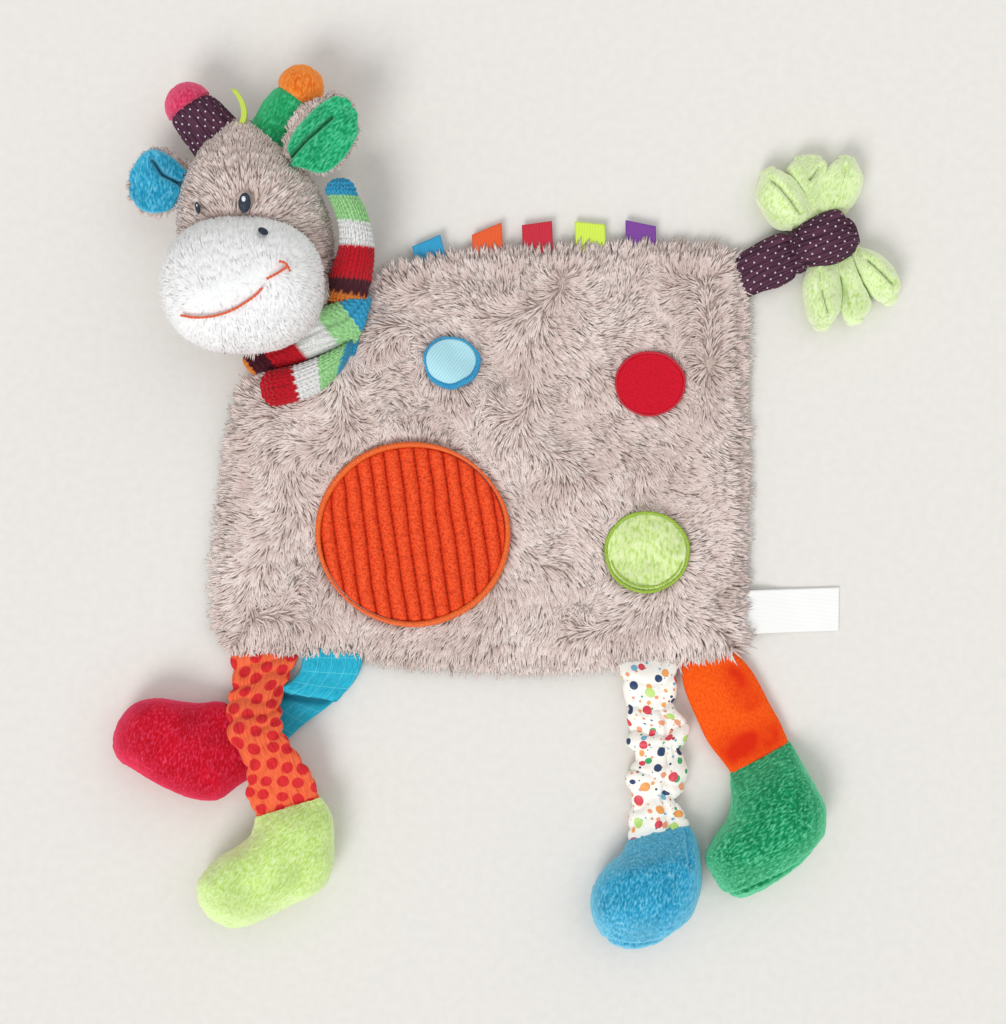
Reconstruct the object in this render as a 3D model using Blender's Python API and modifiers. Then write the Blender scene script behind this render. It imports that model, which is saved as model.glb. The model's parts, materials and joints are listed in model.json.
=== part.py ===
"""A flat plush giraffe comforter: two sewn plush panels with a stuffed head, four limp legs, a tail and ribbon tabs.

It lies on its back, +X towards the tail, +Y towards the horns, +Z up. Lengths are in metres. A table of stations
holds shares of its own piece's sizes: left x and y, right x and y, then the low and high sides of the section.
"""
import math

import bmesh
import bpy
import numpy as np
from mathutils import Matrix, Vector
from mathutils.bvhtree import BVHTree

NAME = "comfort_lovey"

# Fits
GAP = 0.0003
FOLD_SLACK = 0.0004
CUTTER_OVERRUN = 0.06

# Body: two plush panels sewn round the rim, the front one with soft folds
BODY_WIDTH = 0.236
BODY_HEIGHT = 0.188
BACK_THICK = 0.0034
FRONT_THICK = 0.0032
RIM_WIDTH = 0.007
RIM_SHARE = 0.31
FOLD_HEIGHT = 0.0048
FOLD_WIDTH = 0.0095
NECK_RISE_INNER = 0.032
NECK_RISE_OUTER = 0.074
PANEL_COLUMNS = 26
PANEL_ROWS = 20
LEFT_EDGE_SHARES = (
    (0.029, 0.042), (0.006, 0.11), (0.003, 0.21), (0.012, 0.33), (0.025, 0.46), (0.037, 0.57), (0.055, 0.65),
    (0.088, 0.681), (0.0995, 0.703), (0.069, 0.75), (0.154, 0.832),
)
TOP_EDGE_SHARES = (
    (0.154, 0.832), (0.24, 0.914), (0.2685, 0.8645), (0.2856, 0.874), (0.303, 0.897), (0.33, 0.931), (0.39, 0.964),
    (0.45, 0.979), (0.57, 0.987), (0.69, 0.993), (0.81, 1.0), (0.93, 0.995), (0.975, 0.982), (0.993, 0.95),
)
RIGHT_EDGE_SHARES = (
    (0.988, 0.045), (0.995, 0.12), (0.997, 0.28), (1.0, 0.44), (0.997, 0.62), (0.997, 0.78), (0.993, 0.95),
)
BOTTOM_EDGE_SHARES = (
    (0.029, 0.042), (0.046, 0.040), (0.16, 0.041), (0.278, 0.042), (0.312, 0.024), (0.36, 0.015), (0.42, 0.008),
    (0.52, 0.003), (0.62, 0.0), (0.71, 0.002), (0.75, 0.015), (0.765, 0.028), (0.876, 0.028), (0.988, 0.045),
)
# A fold runs from one place to another: x, y, x, y, then its share of the fold's height and of its width
FOLD_SHARES = (
    (0.34, 0.79, 0.48, 0.66, 1.0, 1.0), (0.48, 0.66, 0.66, 0.47, 1.0, 1.0), (0.66, 0.47, 0.81, 0.33, 0.7, 1.0),
    (0.48, 0.87, 0.73, 0.80, 0.45, 1.2), (0.12, 0.58, 0.16, 0.20, 0.5, 1.2), (0.62, 0.13, 0.92, 0.12, 0.5, 1.1),
    (0.92, 0.86, 0.95, 0.45, 0.5, 1.1),
)

# Spots: name, centre shares of the body, radii, colour and edging colour
SPOT_THICK = 0.0013
SPOT_LIFT = 0.0007
EDGING_RADIUS = 0.0011
ORANGE_SPOT_RADIUS_X = 0.0435
ORANGE_SPOT_RADIUS_Y = 0.0412
BLUE_SPOT_RADIUS_X = 0.0124
BLUE_SPOT_RADIUS_Y = 0.0114
RED_SPOT_RADIUS_X = 0.0158
RED_SPOT_RADIUS_Y = 0.0145
LIME_SPOT_RADIUS_X = 0.0190
LIME_SPOT_RADIUS_Y = 0.0182

# Ribbon tabs and the care label: folded strips caught in the seam
RIBBON_THICK = 0.0004
RIBBON_WIDTH = 0.0135
RIBBON_PUFF = 0.0006
SEAM_FOLD_HALF = 0.0006
TAB_LONG = 0.0128
TAB_SHORT = 0.0050
LABEL_WIDTH = 0.0195
LABEL_LENGTH = 0.0415
LABEL_THICK = 0.0003

# Legs: flat cloth sleeves, hinged in the bottom seam and at the foot
SEAM_HALF = 0.0015
ANKLE_HALF = 0.0028
SLEEVE_THICK = 0.0076
SATIN_THICK = 0.012
FOOT_MOUTH_HALF = 0.0036
COVER_THICK = 0.0016
DOTTED_WIDTH = 0.030
DOTTED_LENGTH = 0.070
DOTTED_LIFT = 0.0095
LIME_FOOT_WIDTH = 0.060
LIME_FOOT_LENGTH = 0.058
TURQUOISE_WIDTH = 0.027
TURQUOISE_LENGTH = 0.040
RED_FOOT_WIDTH = 0.045
RED_FOOT_LENGTH = 0.064
SATIN_WIDTH = 0.025
SATIN_LENGTH = 0.076
BLUE_FOOT_WIDTH = 0.050
BLUE_FOOT_LENGTH = 0.053
ORANGE_WIDTH = 0.029
ORANGE_LENGTH = 0.046
GREEN_FOOT_WIDTH = 0.054
GREEN_FOOT_LENGTH = 0.063
FOOT_THICK = 0.027
RED_FOOT_THICK = 0.025
ELASTIC_WIDTH = 0.006
ELASTIC_THICK = 0.0012
ELASTIC_LENGTH_SHARE = 0.80

# Head, muzzle, face, ears, horns and forelock
HEAD_WIDTH = 0.068
HEAD_HEIGHT = 0.100
HEAD_THICK = 0.046
MUZZLE_RADIUS_X = 0.0338
MUZZLE_RADIUS_Y = 0.0290
MUZZLE_RADIUS_Z = 0.0215
MUZZLE_LEVEL = 0.0360
MUZZLE_CENTRE_SHARES = (-0.577, -0.045)
EYE_RADIUS_X = 0.0029
EYE_RADIUS_Y = 0.0045
EYE_THICK = 0.0008
NOSTRIL_RADIUS_X = 0.0026
NOSTRIL_RADIUS_Y = 0.0019
MOUTH_RADIUS = 0.0007
EAR_BACK_THICK = 0.0032
EAR_LINING_THICK = 0.0026
EAR_ROOT_HALF = 0.0019
LEFT_EAR_LEVEL = 0.0220
RIGHT_EAR_LEVEL = 0.0350
HORN_THICK = 0.018
HORN_LEVEL = 0.0215
FORELOCK_WIDTH = 0.0038
FORELOCK_LENGTH = 0.0140
FORELOCK_LEVEL = 0.0325

# Scarf: a knitted tube, once round the neck, with two free ends
WRAP_THICK = 0.0050
WRAP_HALF_WIDTH = 0.0052
WRAP_HALF_SPAN = 0.0262
WRAP_BOW = 0.0045
WRAP_SETBACK = 0.0058
SCARF_WIDTH = 0.020
SCARF_LENGTH = 0.050
SCARF_THICK = 0.012
SCARF_END_THICK = 0.010
SCARF_END_LENGTH = 0.044
SCARF_END_DROP = 0.022

# Tail: a strap, a wrap band and six folded loops
STRAP_WIDTH = 0.021
STRAP_LENGTH = 0.027
STRAP_THICK = 0.008
TAIL_WRAP_WIDTH = 0.027
TAIL_WRAP_HEIGHT = 0.024
TAIL_WRAP_THICK = 0.020
TUFT_THICK = 0.0155

SEAM_HEIGHT = BACK_THICK + GAP / 2
BODY_THICK = BACK_THICK + GAP + FRONT_THICK
NECK_RISE = WRAP_THICK + GAP


def smooth_rows(rows, count):
    """Reads a Catmull-Rom curve through the rows at count even steps, first row to last."""
    return curve_at(rows, np.linspace(0, 1, count))


def curve_at(rows, shares):
    """Reads the same curve at the given shares of its number of steps."""
    rows = np.asarray(rows, float)
    ends = np.vstack([2 * rows[0] - rows[1], rows, 2 * rows[-1] - rows[-2]])
    at = np.clip(shares, 0, 1) * (len(rows) - 1)
    step = np.minimum(at.astype(int), len(rows) - 2)
    t = (at - step)[:, None]
    p0, p1, p2, p3 = (ends[step + k] for k in range(4))
    curved = (p2 - p0) * t + (2 * p0 - 5 * p1 + 4 * p2 - p3) * t**2 + (3 * p1 - p0 - 3 * p2 + p3) * t**3
    return p1 + curved / 2


def smooth_step(shares):
    """Eases from 0 to 1 with no slope at either end."""
    t = np.clip(shares, 0, 1)
    return t * t * (3 - 2 * t)


def in_body(shares):
    """Turns shares of the body into places, measured from the body's lower left corner."""
    return np.asarray(shares, float) * (BODY_WIDTH, BODY_HEIGHT)


# The place that the head and the scarf are measured from: the neck seam's upper right end
NECK_RIGHT = in_body(TOP_EDGE_SHARES[1])
NECK_LEFT = in_body(LEFT_EDGE_SHARES[-2])
NECK_ALONG = (NECK_RIGHT - NECK_LEFT) / np.linalg.norm(NECK_RIGHT - NECK_LEFT)
NECK_OUT = np.array((-NECK_ALONG[1], NECK_ALONG[0]))
NECK_MIDDLE = (NECK_LEFT + NECK_RIGHT) / 2


def edge_at(edge_shares, shares):
    """Walks along an edge of the body, at the given shares of its number of steps."""
    steps = np.linspace(0, 1, len(edge_shares))
    return np.column_stack([np.interp(shares, steps, line) for line in in_body(edge_shares).T])


def panel_plan(u, v):
    """Fills the body's outline: a Coons patch between its four edges, u left to right and v bottom to top."""
    bottom, top = edge_at(BOTTOM_EDGE_SHARES, u), edge_at(TOP_EDGE_SHARES, u)
    left, right = edge_at(LEFT_EDGE_SHARES, v), edge_at(RIGHT_EDGE_SHARES, v)
    u, v = u[:, None], v[:, None]
    corners = (
        (1 - u) * (1 - v) * in_body(BOTTOM_EDGE_SHARES[0]) + u * (1 - v) * in_body(BOTTOM_EDGE_SHARES[-1])
        + (1 - u) * v * in_body(TOP_EDGE_SHARES[0]) + u * v * in_body(TOP_EDGE_SHARES[-1])
    )
    return (1 - v) * bottom + v * top + (1 - u) * left + u * right - corners


def rim_ease(plan):
    """Gives 0 at the sewn rim and 1 a rim's width inside it."""
    edges = (BOTTOM_EDGE_SHARES, TOP_EDGE_SHARES, LEFT_EDGE_SHARES, RIGHT_EDGE_SHARES)
    outline = np.vstack([edge_at(edge, np.linspace(0, 1, 20 * len(edge))) for edge in edges])
    distance = np.linalg.norm(plan[:, None] - outline, axis=2).min(axis=1)
    return smooth_step(distance / RIM_WIDTH)


def neck_ease(plan, spread=0.0):
    """Gives 1 under the scarf's wrap, easing to 0 where the body lies flat, further out by spread."""
    centre = NECK_MIDDLE - NECK_OUT * WRAP_SETBACK
    distance = np.linalg.norm(np.atleast_2d(plan) - centre, axis=1)
    return smooth_step((NECK_RISE_OUTER + spread - distance) / (NECK_RISE_OUTER - NECK_RISE_INNER))


def neck_rise(plan):
    """How far the body is lifted off the table by the scarf that passes under its neck."""
    return NECK_RISE * neck_ease(plan)


def fold_rise(plan):
    """Height of the front panel's soft folds: a rounded ridge along each fold's line."""
    rise = np.zeros(len(plan))
    for x0, y0, x1, y1, height_share, width_share in FOLD_SHARES:
        start, end = in_body((x0, y0)), in_body((x1, y1))
        run = end - start
        along = np.clip((plan - start) @ run / (run @ run), 0, 1)
        off = np.linalg.norm(plan - start - along[:, None] * run, axis=1)
        rise = np.maximum(rise, FOLD_HEIGHT * height_share * np.exp(-((off / FOLD_WIDTH / width_share) ** 2)))
    return rise * rim_ease(plan)


def ring_points(stations, sides, power):
    """Puts a rounded section on each station's two rail points, from its low side to its high side."""
    turn = np.linspace(0, 2 * math.pi, sides, endpoint=False)
    across = np.sign(np.cos(turn)) * np.abs(np.cos(turn)) ** (2 / power)
    upward = np.sign(np.sin(turn)) * np.abs(np.sin(turn)) ** (2 / power)
    left, right = stations[:, None, 0:2], stations[:, None, 2:4]
    plan = (left + right) / 2 + (right - left) / 2 * across[None, :, None]
    level = (stations[:, 5] + stations[:, 4])[:, None] / 2 + (stations[:, 5] - stations[:, 4])[:, None] / 2 * upward
    return np.dstack([plan, np.maximum(level, 0)])


def skin(rings, cap_start=True, cap_end=True, closed=False):
    """Joins rings of points into a tube, capped at the ends that are asked for."""
    form = bmesh.new()
    rows = [[form.verts.new(point) for point in ring] for ring in rings]
    sides = len(rows[0])
    following = rows[1:] + rows[:1] if closed else rows[1:]
    for ring, after in zip(rows, following):
        for k in range(sides):
            form.faces.new((ring[k], ring[(k + 1) % sides], after[(k + 1) % sides], after[k]))
    if cap_start and not closed:
        form.faces.new(rows[0])
    if cap_end and not closed:
        form.faces.new(rows[-1])
    bmesh.ops.recalc_face_normals(form, faces=form.faces)
    if signed_volume(form) < 0:
        bmesh.ops.reverse_faces(form, faces=form.faces)
    return mesh_from(form)


def signed_volume(form):
    """Volume under the faces seen from the form's middle, which is negative where an open tube is inside out."""
    middle = sum((v.co for v in form.verts), Vector()) / len(form.verts)
    return sum((face.calc_center_median() - middle).dot(face.normal) * face.calc_area() for face in form.faces)


def mesh_from(form):
    mesh = bpy.data.meshes.new(NAME)
    form.normal_update()
    form.to_mesh(mesh)
    form.free()
    return mesh


def grown(mesh, distance):
    """A closed copy of a mesh with every point moved along its normal, outwards if the distance is positive."""
    form = bmesh.new()
    form.from_mesh(mesh)
    form.normal_update()
    for vert, normal in [(v, v.normal.copy()) for v in form.verts]:
        vert.co += normal * distance
        vert.co.z = max(vert.co.z, GAP)
    bmesh.ops.holes_fill(form, edges=form.edges)
    bmesh.ops.recalc_face_normals(form, faces=form.faces)
    return mesh_from(form)


def tidy_scene():
    for thing in list(bpy.data.objects):
        bpy.data.objects.remove(thing, do_unlink=True)


def collection_named(name):
    made = bpy.data.collections.new(name)
    bpy.context.scene.collection.children.link(made)
    return made


def cloth(name, colour, roughness=0.9):
    """A sewn piece's plain cloth: its colour and roughness, never metallic."""
    made = bpy.data.materials.new(name)
    made.use_nodes = True
    shader = made.node_tree.nodes["Principled BSDF"]
    red, green, blue = (int(colour[i : i + 2], 16) / 255 for i in (0, 2, 4))
    shader.inputs["Base Color"].default_value = (red**2.2, green**2.2, blue**2.2, 1)
    shader.inputs["Roughness"].default_value = roughness
    shader.inputs["Metallic"].default_value = 0
    return made


def place(name, data, colour, parent, roughness=0.9):
    """Adds a named piece under its parent, modelled in place, shaded smooth up to a crease."""
    piece = bpy.data.objects.new(name, data)
    PARTS.objects.link(piece)
    if piece.type == "MESH":
        data.shade_smooth()
        data.set_sharp_from_angle(angle=math.radians(50))
    data.materials.append(cloth(name, colour, roughness))
    piece.parent = parent
    piece.matrix_parent_inverse = parent.matrix_world.inverted()
    return piece


def guide(name, mesh):
    """Adds a cutter, which isn't part of the object."""
    made = bpy.data.objects.new(name, mesh)
    GUIDES.objects.link(made)
    made.hide_render = True
    made.display_type = "WIRE"
    made.parent = ROOT
    return made


def cut(piece, cutter, name):
    """Takes a guide's volume out of a piece."""
    step = piece.modifiers.new(name, "BOOLEAN")
    step.operation = "DIFFERENCE"
    step.object = cutter


def shell(piece, thick, outward=False):
    """Gives an open surface its cloth's thickness."""
    wall = piece.modifiers.new("cloth", "SOLIDIFY")
    wall.thickness = thick
    wall.offset = 1 if outward else -1
    return wall


def hinge(name, spot, axis):
    """An empty on a joint's axis, its own X along the axis."""
    made = bpy.data.objects.new(name, None)
    PARTS.objects.link(made)
    x = Vector(axis).normalized()
    z = Vector((0, 0, 1))
    if abs(x.dot(z)) > abs(x.x) + abs(x.y):
        z = Vector((0, 1, 0))
    y = z.cross(x).normalized()
    turn = Matrix((x, y, x.cross(y))).transposed().to_4x4()
    made.matrix_world = Matrix.Translation(Vector(spot)) @ turn
    made.parent = ROOT
    return made


def lift_axis(out):
    """The axis about which a positive turn lifts a piece that points along out."""
    return (out[1], -out[0], 0)


def surface_under(piece):
    """A tree of a piece's evaluated surface, for laying other pieces on it."""
    bpy.context.view_layer.update()
    form = bmesh.new()
    evaluated = piece.evaluated_get(bpy.context.evaluated_depsgraph_get())
    form.from_mesh(evaluated.to_mesh())
    form.transform(piece.matrix_world)
    tree = BVHTree.FromBMesh(form)
    form.free()
    return tree


def drop(tree, x, y):
    """Height of a surface's top at a place."""
    hit = tree.ray_cast(Vector((x, y, CUTTER_OVERRUN * 4)), Vector((0, 0, -1)))[0]
    return hit.z if hit else 0


def seam_line(edge_shares, start, end, half):
    """Two points just outside an edge, at the given shares of the body along the edge's longer direction."""
    edge = edge_at(edge_shares, np.linspace(0, 1, 40 * len(edge_shares)))
    run = 0 if np.ptp(edge[:, 0]) > np.ptp(edge[:, 1]) else 1
    size = (BODY_WIDTH, BODY_HEIGHT)[run]
    ends = [edge[np.abs(edge[:, run] - share * size).argmin()] for share in (start, end)]
    along = (ends[1] - ends[0]) / np.linalg.norm(ends[1] - ends[0])
    out = np.array((along[1], -along[0]))
    centre = in_body((0.5, 0.5))
    if (ends[0] - centre) @ out < 0:
        out = -out
    between = edge[(edge[:, run] >= min(e[run] for e in ends)) & (edge[:, run] <= max(e[run] for e in ends))]
    reach = max(float(((between - ends[0]) @ out).max()), 0) + half + GAP
    return ends[0] + out * reach, ends[1] + out * reach, out


def station_rows(origin, width, height, thick, base, shares):
    """Turns a table of shares into stations in metres."""
    table = np.asarray(shares, float)
    size = (width, height)
    plan = [origin + table[:, k : k + 2] * size for k in (0, 2)]
    return np.column_stack([plan[0], plan[1], base + table[:, 4] * thick, base + table[:, 5] * thick])


def away_from(row, following):
    """The level direction square to a station's line, pointing away from the next station."""
    line = row[2:4] - row[0:2]
    out = np.array((line[1], -line[0])) / np.linalg.norm(line)
    toward = (following[0:2] + following[2:4]) / 2 - (row[0:2] + row[2:4]) / 2
    return -out if out @ toward > 0 else out


def rounded_start(stations, half, under=True, over=True):
    """Sets the first station to the hinge's thickness and rounds the piece about the hinge before it."""
    first = stations[0].copy()
    out = away_from(first, stations[1])
    level = (first[4] + first[5]) / 2
    rows = []
    for angle in (60, 30, 0):
        turn = math.radians(angle)
        row = first.copy()
        row[0:2] += out * half * math.sin(turn)
        row[2:4] += out * half * math.sin(turn)
        row[4] = level - half * math.cos(turn) if under else level + GAP / 2
        row[5] = level + half * math.cos(turn) if over else level - GAP / 2
        rows.append(row)
    return np.vstack([rows, stations[1:]])


def leg_sleeve(name, seam, width, length, thick, lift, shares, count, colour, roughness=0.85):
    """A cloth sleeve from the bottom seam to the foot, rounded about both hinges."""
    left, right, out = seam_line(BOTTOM_EDGE_SHARES, seam[0], seam[1], SEAM_HALF)
    origin = (left + right) / 2
    stations = station_rows(origin, width, length, thick, 0, shares)
    stations[:, 4:6] += lift * np.asarray([row[6] for row in shares])[:, None] if len(shares[0]) > 6 else 0
    stations[0] = (*left, *right, SEAM_HEIGHT - SEAM_HALF, SEAM_HEIGHT + SEAM_HALF)
    middle = smooth_rows(stations, count)
    rows = rounded_start(middle, SEAM_HALF)
    rows = rounded_start(rows[::-1], ANKLE_HALF)[::-1]
    hip = hinge(name + "_hip", (*origin, SEAM_HEIGHT), lift_axis(out))
    sleeve = place(name + "_leg_sleeve", skin(ring_points(rows, 12, 2.6)), colour, hip, roughness)
    return sleeve, hip, middle


def foot(name, sleeve_name, sleeve_rows, hip, width, length, thick, shares, colour, turned=False):
    """A stuffed foot: a cover open at the ankle and the filling inside it, both cut flat where they stand."""
    last = sleeve_rows[-1]
    ankle = (last[0:2] + last[2:4]) / 2
    level = (last[4] + last[5]) / 2
    out = away_from(last, sleeve_rows[-2])
    size = (length, width) if turned else (width, length)
    stations = station_rows(ankle, size[0], size[1], thick, 0, shares)
    mouth = last.copy()
    mouth[0:2] += out * (ANKLE_HALF + GAP)
    mouth[2:4] += out * (ANKLE_HALF + GAP)
    mouth[4:6] = level - min(FOOT_MOUTH_HALF, level), level + FOOT_MOUTH_HALF
    rows = smooth_rows(np.vstack([mouth, stations]), 9)
    outer = skin(ring_points(rows, 12, 2.3), cap_start=False)
    joint = hinge(sleeve_name + "_ankle", (*ankle, level), lift_axis(out))
    joint.parent = hip
    joint.matrix_parent_inverse = hip.matrix_world.inverted()
    filling = grown(outer, -COVER_THICK - 2 * GAP)
    cover = place(name + "_foot_cover", outer, colour, joint)
    shell(cover, COVER_THICK)
    place(name + "_foot_filling", filling, "F4F2EC", joint)
    return cover


def folded_strip(name, left, right, out, reach, thick, puff, colour, level, drop_to=0):
    """A ribbon folded in two: out from the seam, round its fold and back, then given its cloth's thickness."""
    left, right = np.asarray(left, float), np.asarray(right, float)
    path = (
        (0.0, 0.6), (0.35, 1.0), (0.7, 1.0), (0.93, 0.8), (1.0, 0.0),
        (0.93, -0.8), (0.7, -1.0), (0.35, -1.0), (0.0, -0.6),
    )
    columns = 2
    form = bmesh.new()
    rows = []
    for share in np.linspace(0, 1, columns + 1):
        base = left + (right - left) * share
        length = reach[0] + (reach[1] - reach[0]) * share
        row = []
        for along_share, side_share in path:
            spot = base + np.asarray(out) * length * along_share
            height = level + puff * side_share - drop_to * smooth_step(along_share * 1.6)
            row.append(form.verts.new((*spot, height)))
        rows.append(row)
    for row, after in zip(rows, rows[1:]):
        for k in range(len(path) - 1):
            form.faces.new((row[k], row[k + 1], after[k + 1], after[k]))
    bmesh.ops.recalc_face_normals(form, faces=form.faces)
    middle = (left + right) / 2
    joint = hinge(name + "_hinge", (*middle, level), lift_axis(out))
    strip = place(name, mesh_from(form), colour, joint, 0.4)
    wall = shell(strip, thick)
    wall.offset = 0
    return strip


def patch(name, centre, radius_x, radius_y, tree, thick, lift, spokes, colour, parent, turn=0.0):
    """A round applique or stitched patch that follows the surface below it, thinner at its rim."""
    form = bmesh.new()
    rings = []
    for ring_share, thick_share in ((1.0, 0.45), (0.94, 1.0), (0.55, 1.0)):
        ring = []
        for angle in np.linspace(0, 2 * math.pi, spokes, endpoint=False):
            x, y = radius_x * ring_share * math.cos(angle), radius_y * ring_share * math.sin(angle)
            turned = (x * math.cos(turn) - y * math.sin(turn), x * math.sin(turn) + y * math.cos(turn))
            spot = (centre[0] + turned[0], centre[1] + turned[1])
            ring.append((*spot, drop(tree, *spot) + lift, thick_share))
        rings.append(ring)
    middle = (*centre, drop(tree, *centre) + lift)
    sides = []
    for side in (0, 1):
        rows = [[form.verts.new((x, y, z + side * thick * share)) for x, y, z, share in ring] for ring in rings]
        rows.append([form.verts.new((middle[0], middle[1], middle[2] + side * thick))])
        sides.append(rows)
        for row, after in zip(rows, rows[1:]):
            for k in range(spokes):
                quad = (row[k], row[(k + 1) % spokes], after[(k + 1) % len(after)], after[k % len(after)])
                form.faces.new(quad if len(after) > 1 else quad[:3])
    for k in range(spokes):
        below, above = sides[0][0], sides[1][0]
        form.faces.new((below[k], below[(k + 1) % spokes], above[(k + 1) % spokes], above[k]))
    bmesh.ops.recalc_face_normals(form, faces=form.faces)
    return place(name, mesh_from(form), colour, parent)


def cord(name, points, radius, colour, parent, cyclic=False, resolution=0):
    """A stitched line or edging: a thin tube along its points."""
    curve = bpy.data.curves.new(name, "CURVE")
    curve.dimensions = "3D"
    curve.bevel_depth = radius
    curve.bevel_resolution = resolution
    curve.use_fill_caps = not cyclic
    spline = curve.splines.new("POLY")
    spline.points.add(len(points) - 1)
    spline.points.foreach_set("co", np.column_stack([points, np.ones(len(points))]).ravel())
    spline.use_cyclic_u = cyclic
    return place(name, curve, colour, parent)


def make_panel(name, thick, base, outward, colour, folded):
    """One plush panel of the body: a grid laid inside the outline, thinner towards its sewn rim."""
    form = bmesh.new()
    rows = PANEL_ROWS if folded else PANEL_ROWS // 2
    bmesh.ops.create_grid(form, x_segments=PANEL_COLUMNS, y_segments=rows, size=1)
    share = (np.array([v.co[:2] for v in form.verts]) + 1) / 2
    plan = panel_plan(share[:, 0], share[:, 1])
    level = base + neck_rise(plan)
    if folded:
        ease = neck_ease(plan, RIM_WIDTH)
        level = base + NECK_RISE * ease + fold_rise(plan) + FOLD_SLACK * 4 * ease * (1 - ease)
    for vert, spot, height in zip(form.verts, plan, level):
        vert.co = (*spot, height)
    mesh = mesh_from(form)
    panel = place(name, mesh, colour, ROOT)
    pile = panel.vertex_groups.new(name="pile")
    for index, ease in enumerate(rim_ease(plan)):
        pile.add([index], RIM_SHARE + (1 - RIM_SHARE) * float(ease), "REPLACE")
    wall = shell(panel, thick, outward)
    wall.vertex_group = pile.name
    return panel


def make_body():
    make_panel("body_back_panel", BACK_THICK, BACK_THICK, False, "B5A198", False)
    return make_panel("body_front_panel", FRONT_THICK, BACK_THICK + GAP, True, "B8A59B", True)


def make_spots(front):
    """Four appliques, each inside its stitched edging."""
    spots = (
        ("orange", (0.375, 0.316), ORANGE_SPOT_RADIUS_X, ORANGE_SPOT_RADIUS_Y, 32, "EF471B", "F26A1B"),
        ("blue", (0.448, 0.724), BLUE_SPOT_RADIUS_X, BLUE_SPOT_RADIUS_Y, 16, "A9DDE9", "2E9FCC"),
        ("red", (0.823, 0.673), RED_SPOT_RADIUS_X, RED_SPOT_RADIUS_Y, 18, "C8102E", "B00D28"),
        ("lime", (0.817, 0.274), LIME_SPOT_RADIUS_X, LIME_SPOT_RADIUS_Y, 20, "CDEB7C", "A3C940"),
    )
    tree = surface_under(front)
    for name, centre_shares, radius_x, radius_y, spokes, colour, edge_colour in spots:
        centre = in_body(centre_shares)
        inset = 2 * EDGING_RADIUS + GAP
        patch(name + "_spot", centre, radius_x - inset, radius_y - inset, tree, SPOT_THICK, SPOT_LIFT, spokes,
              colour, ROOT)
        points = []
        for angle in np.linspace(0, 2 * math.pi, spokes, endpoint=False):
            x = centre[0] + (radius_x - EDGING_RADIUS) * math.cos(angle)
            y = centre[1] + (radius_y - EDGING_RADIUS) * math.sin(angle)
            points.append((x, y, drop(tree, x, y) + EDGING_RADIUS + SPOT_LIFT))
        cord(name + "_spot_edging", points, EDGING_RADIUS, edge_colour, ROOT, cyclic=True)


def make_tabs():
    """Five ribbons folded in the top seam, unlike in how far each side shows, and the label in the right seam."""
    tabs = (
        ("blue", 0.409, 0.5, 1.2, "1E9FD0"), ("orange", 0.5165, 0.9, 2.4, "EE5A1C"),
        ("red", 0.6115, 1.9, 2.3, "CE1532"), ("yellow", 0.7125, 2.1, 1.5, "D8F24E"), ("purple", 0.8075, 1.9, 1.0, "7A3C9C"),
    )
    half = SEAM_FOLD_HALF
    for name, centre_share, left_share, right_share, colour in tabs:
        side_share = RIBBON_WIDTH / BODY_WIDTH / 2
        left, right, out = seam_line(TOP_EDGE_SHARES, centre_share - side_share, centre_share + side_share, half)
        level = SEAM_HEIGHT + float(neck_rise((left + right) / 2)[0])
        reach = [TAB_SHORT + (TAB_LONG - TAB_SHORT) * share / 2.4 for share in (left_share, right_share)]
        folded_strip(name + "_ribbon_tab", left, right, out, reach, RIBBON_THICK, RIBBON_PUFF, colour, level)
    side_share = LABEL_WIDTH / BODY_HEIGHT / 2
    left, right, out = seam_line(RIGHT_EDGE_SHARES, 0.13 + side_share, 0.13 - side_share, half)
    reach = (LABEL_LENGTH, LABEL_LENGTH)
    lying = SEAM_HEIGHT - RIBBON_PUFF - LABEL_THICK
    folded_strip("care_label", left, right, out, reach, LABEL_THICK, RIBBON_PUFF / 2, "F4F4F2", SEAM_HEIGHT, lying)


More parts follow.
